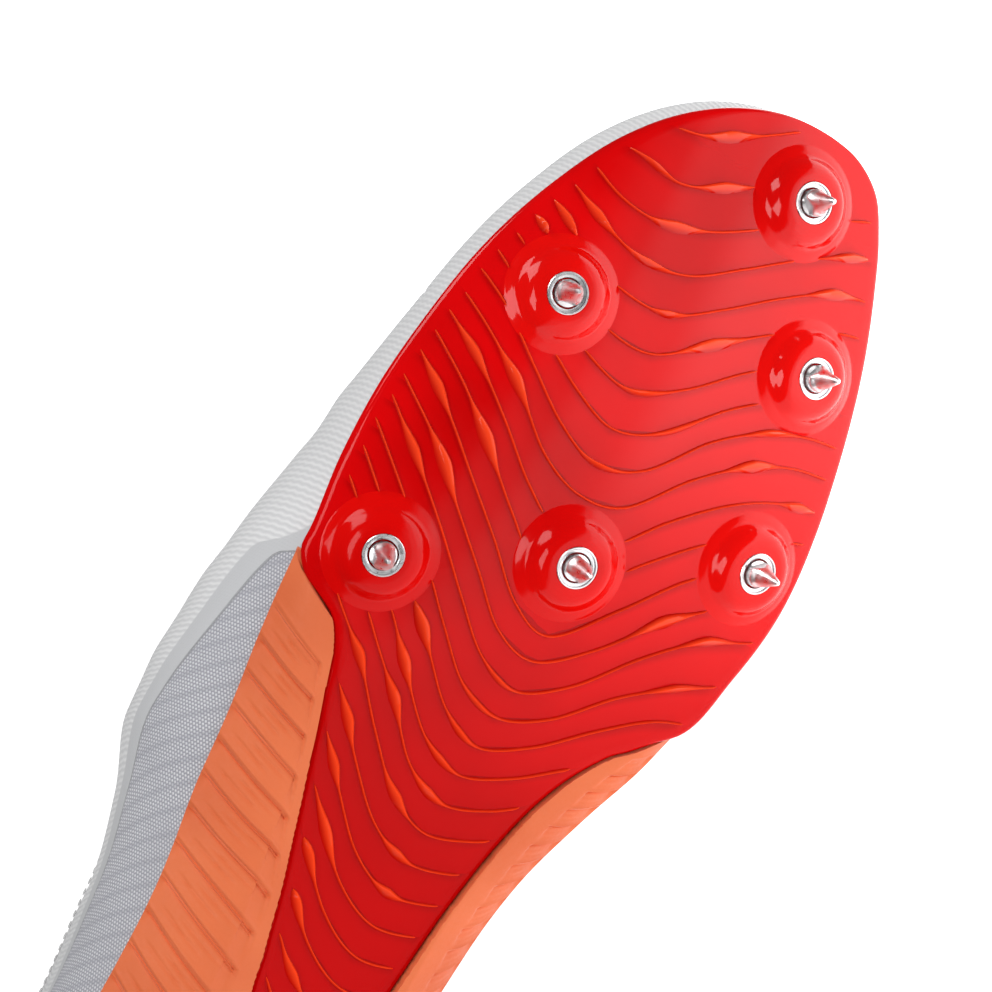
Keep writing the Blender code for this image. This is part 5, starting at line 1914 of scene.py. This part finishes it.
def stitch_run(side, rise, first, last, count, off):
    return [cloth_spot(side, share, rise, off) for share in np.linspace(first, last, count)]


stitch_runs = [stitch_run(side, *row) for side in SIDES for row in STITCH_ROWS]
stitches = grow(line_object("stitch_lines", stitch_runs), stitch_tree(), "stitches",
                Spacing=0.0024, Length=0.0017, Thickness=THREAD, Material=LACE)
dress(stitches, LACE)
eyelet_spots = [[cloth_spot(side, share, EYELET_RISE, ON_FILM)]
                for side in SIDES for share in shares]
eyelets = grow(line_object("eyelet_places", eyelet_spots), eyelet_tree(), "eyelets",
               Radius=0.0026, Thread=0.0005, Material=FILM)
dress(eyelets, FILM)

# %% [markdown]
# ## Light and floor
# The picture has a bright white ground with no edge, which is how a light table looks: a white
# sheet that glows a little. It also puts the broad pale window on the medial half of the plate.
# A large soft light overhead and another in front round off the domes.

# %% The floor and the lights
FLOOR_GLOW = 0.75
FLOOR_DIM, FLOOR_BRIGHT = -0.46, -0.30
LAMP_GLOW = 1.6
WORLD_GLOW = 0.08
FLOOR_HALF = 3.0
FLOOR_DROP = -0.0002


def light_table():
    recipe = Recipe("light_table", (0.80, 0.80, 0.80), 0.9, Emission_Color=(1.0, 1.0, 1.0, 1.0))
    where = recipe.place()
    parts = recipe.add("ShaderNodeSeparateXYZ", Vector=where)
    glow = recipe.span(parts.outputs[1], FLOOR_DIM, FLOOR_BRIGHT, 0.10, 1.0)
    lamp = recipe.times(recipe.span(parts.outputs[0], 0.02, 0.12),
                        recipe.span(parts.outputs[1], -0.19, -0.12))
    glow = recipe.plus(glow, recipe.times(lamp, LAMP_GLOW))
    recipe.wire(recipe.times(glow, FLOOR_GLOW), recipe.shader.inputs["Emission Strength"])
    return recipe.finish()


def make_floor():
    mesh = bpy.data.meshes.new("floor")
    signs = ((-1, -1), (1, -1), (1, 1), (-1, 1))
    corners = [(x * FLOOR_HALF, y * FLOOR_HALF, FLOOR_DROP) for x, y in signs]
    mesh.from_pydata(corners, [], [(0, 1, 2, 3)])
    mesh.materials.append(light_table())
    place_object("floor", mesh)


def soft_light(name, place, target, size, power):
    data = bpy.data.lights.new(name, "AREA")
    data.shape = "RECTANGLE"
    data.size, data.size_y = size
    data.energy = power
    lamp = place_object(name, data)
    lamp.location = place
    lamp.rotation_euler = (Vector(target) - Vector(place)).to_track_quat("-Z", "Y").to_euler()


make_floor()
soft_light("overhead", (0.25, -0.10, 0.85), (0.03, 0.0, 0.03), (0.5, 0.40), 4.0)
soft_light("front", (-0.35, -0.95, 0.80), (0.03, 0.0, 0.04), (0.7, 0.5), 6.5)
world = bpy.data.worlds.new("studio")
world.use_nodes = True
background = world.node_tree.nodes["Background"]
background.inputs["Color"].default_value = (1.0, 1.0, 1.0, 1.0)
background.inputs["Strength"].default_value = WORLD_GLOW
bpy.context.scene.world = world
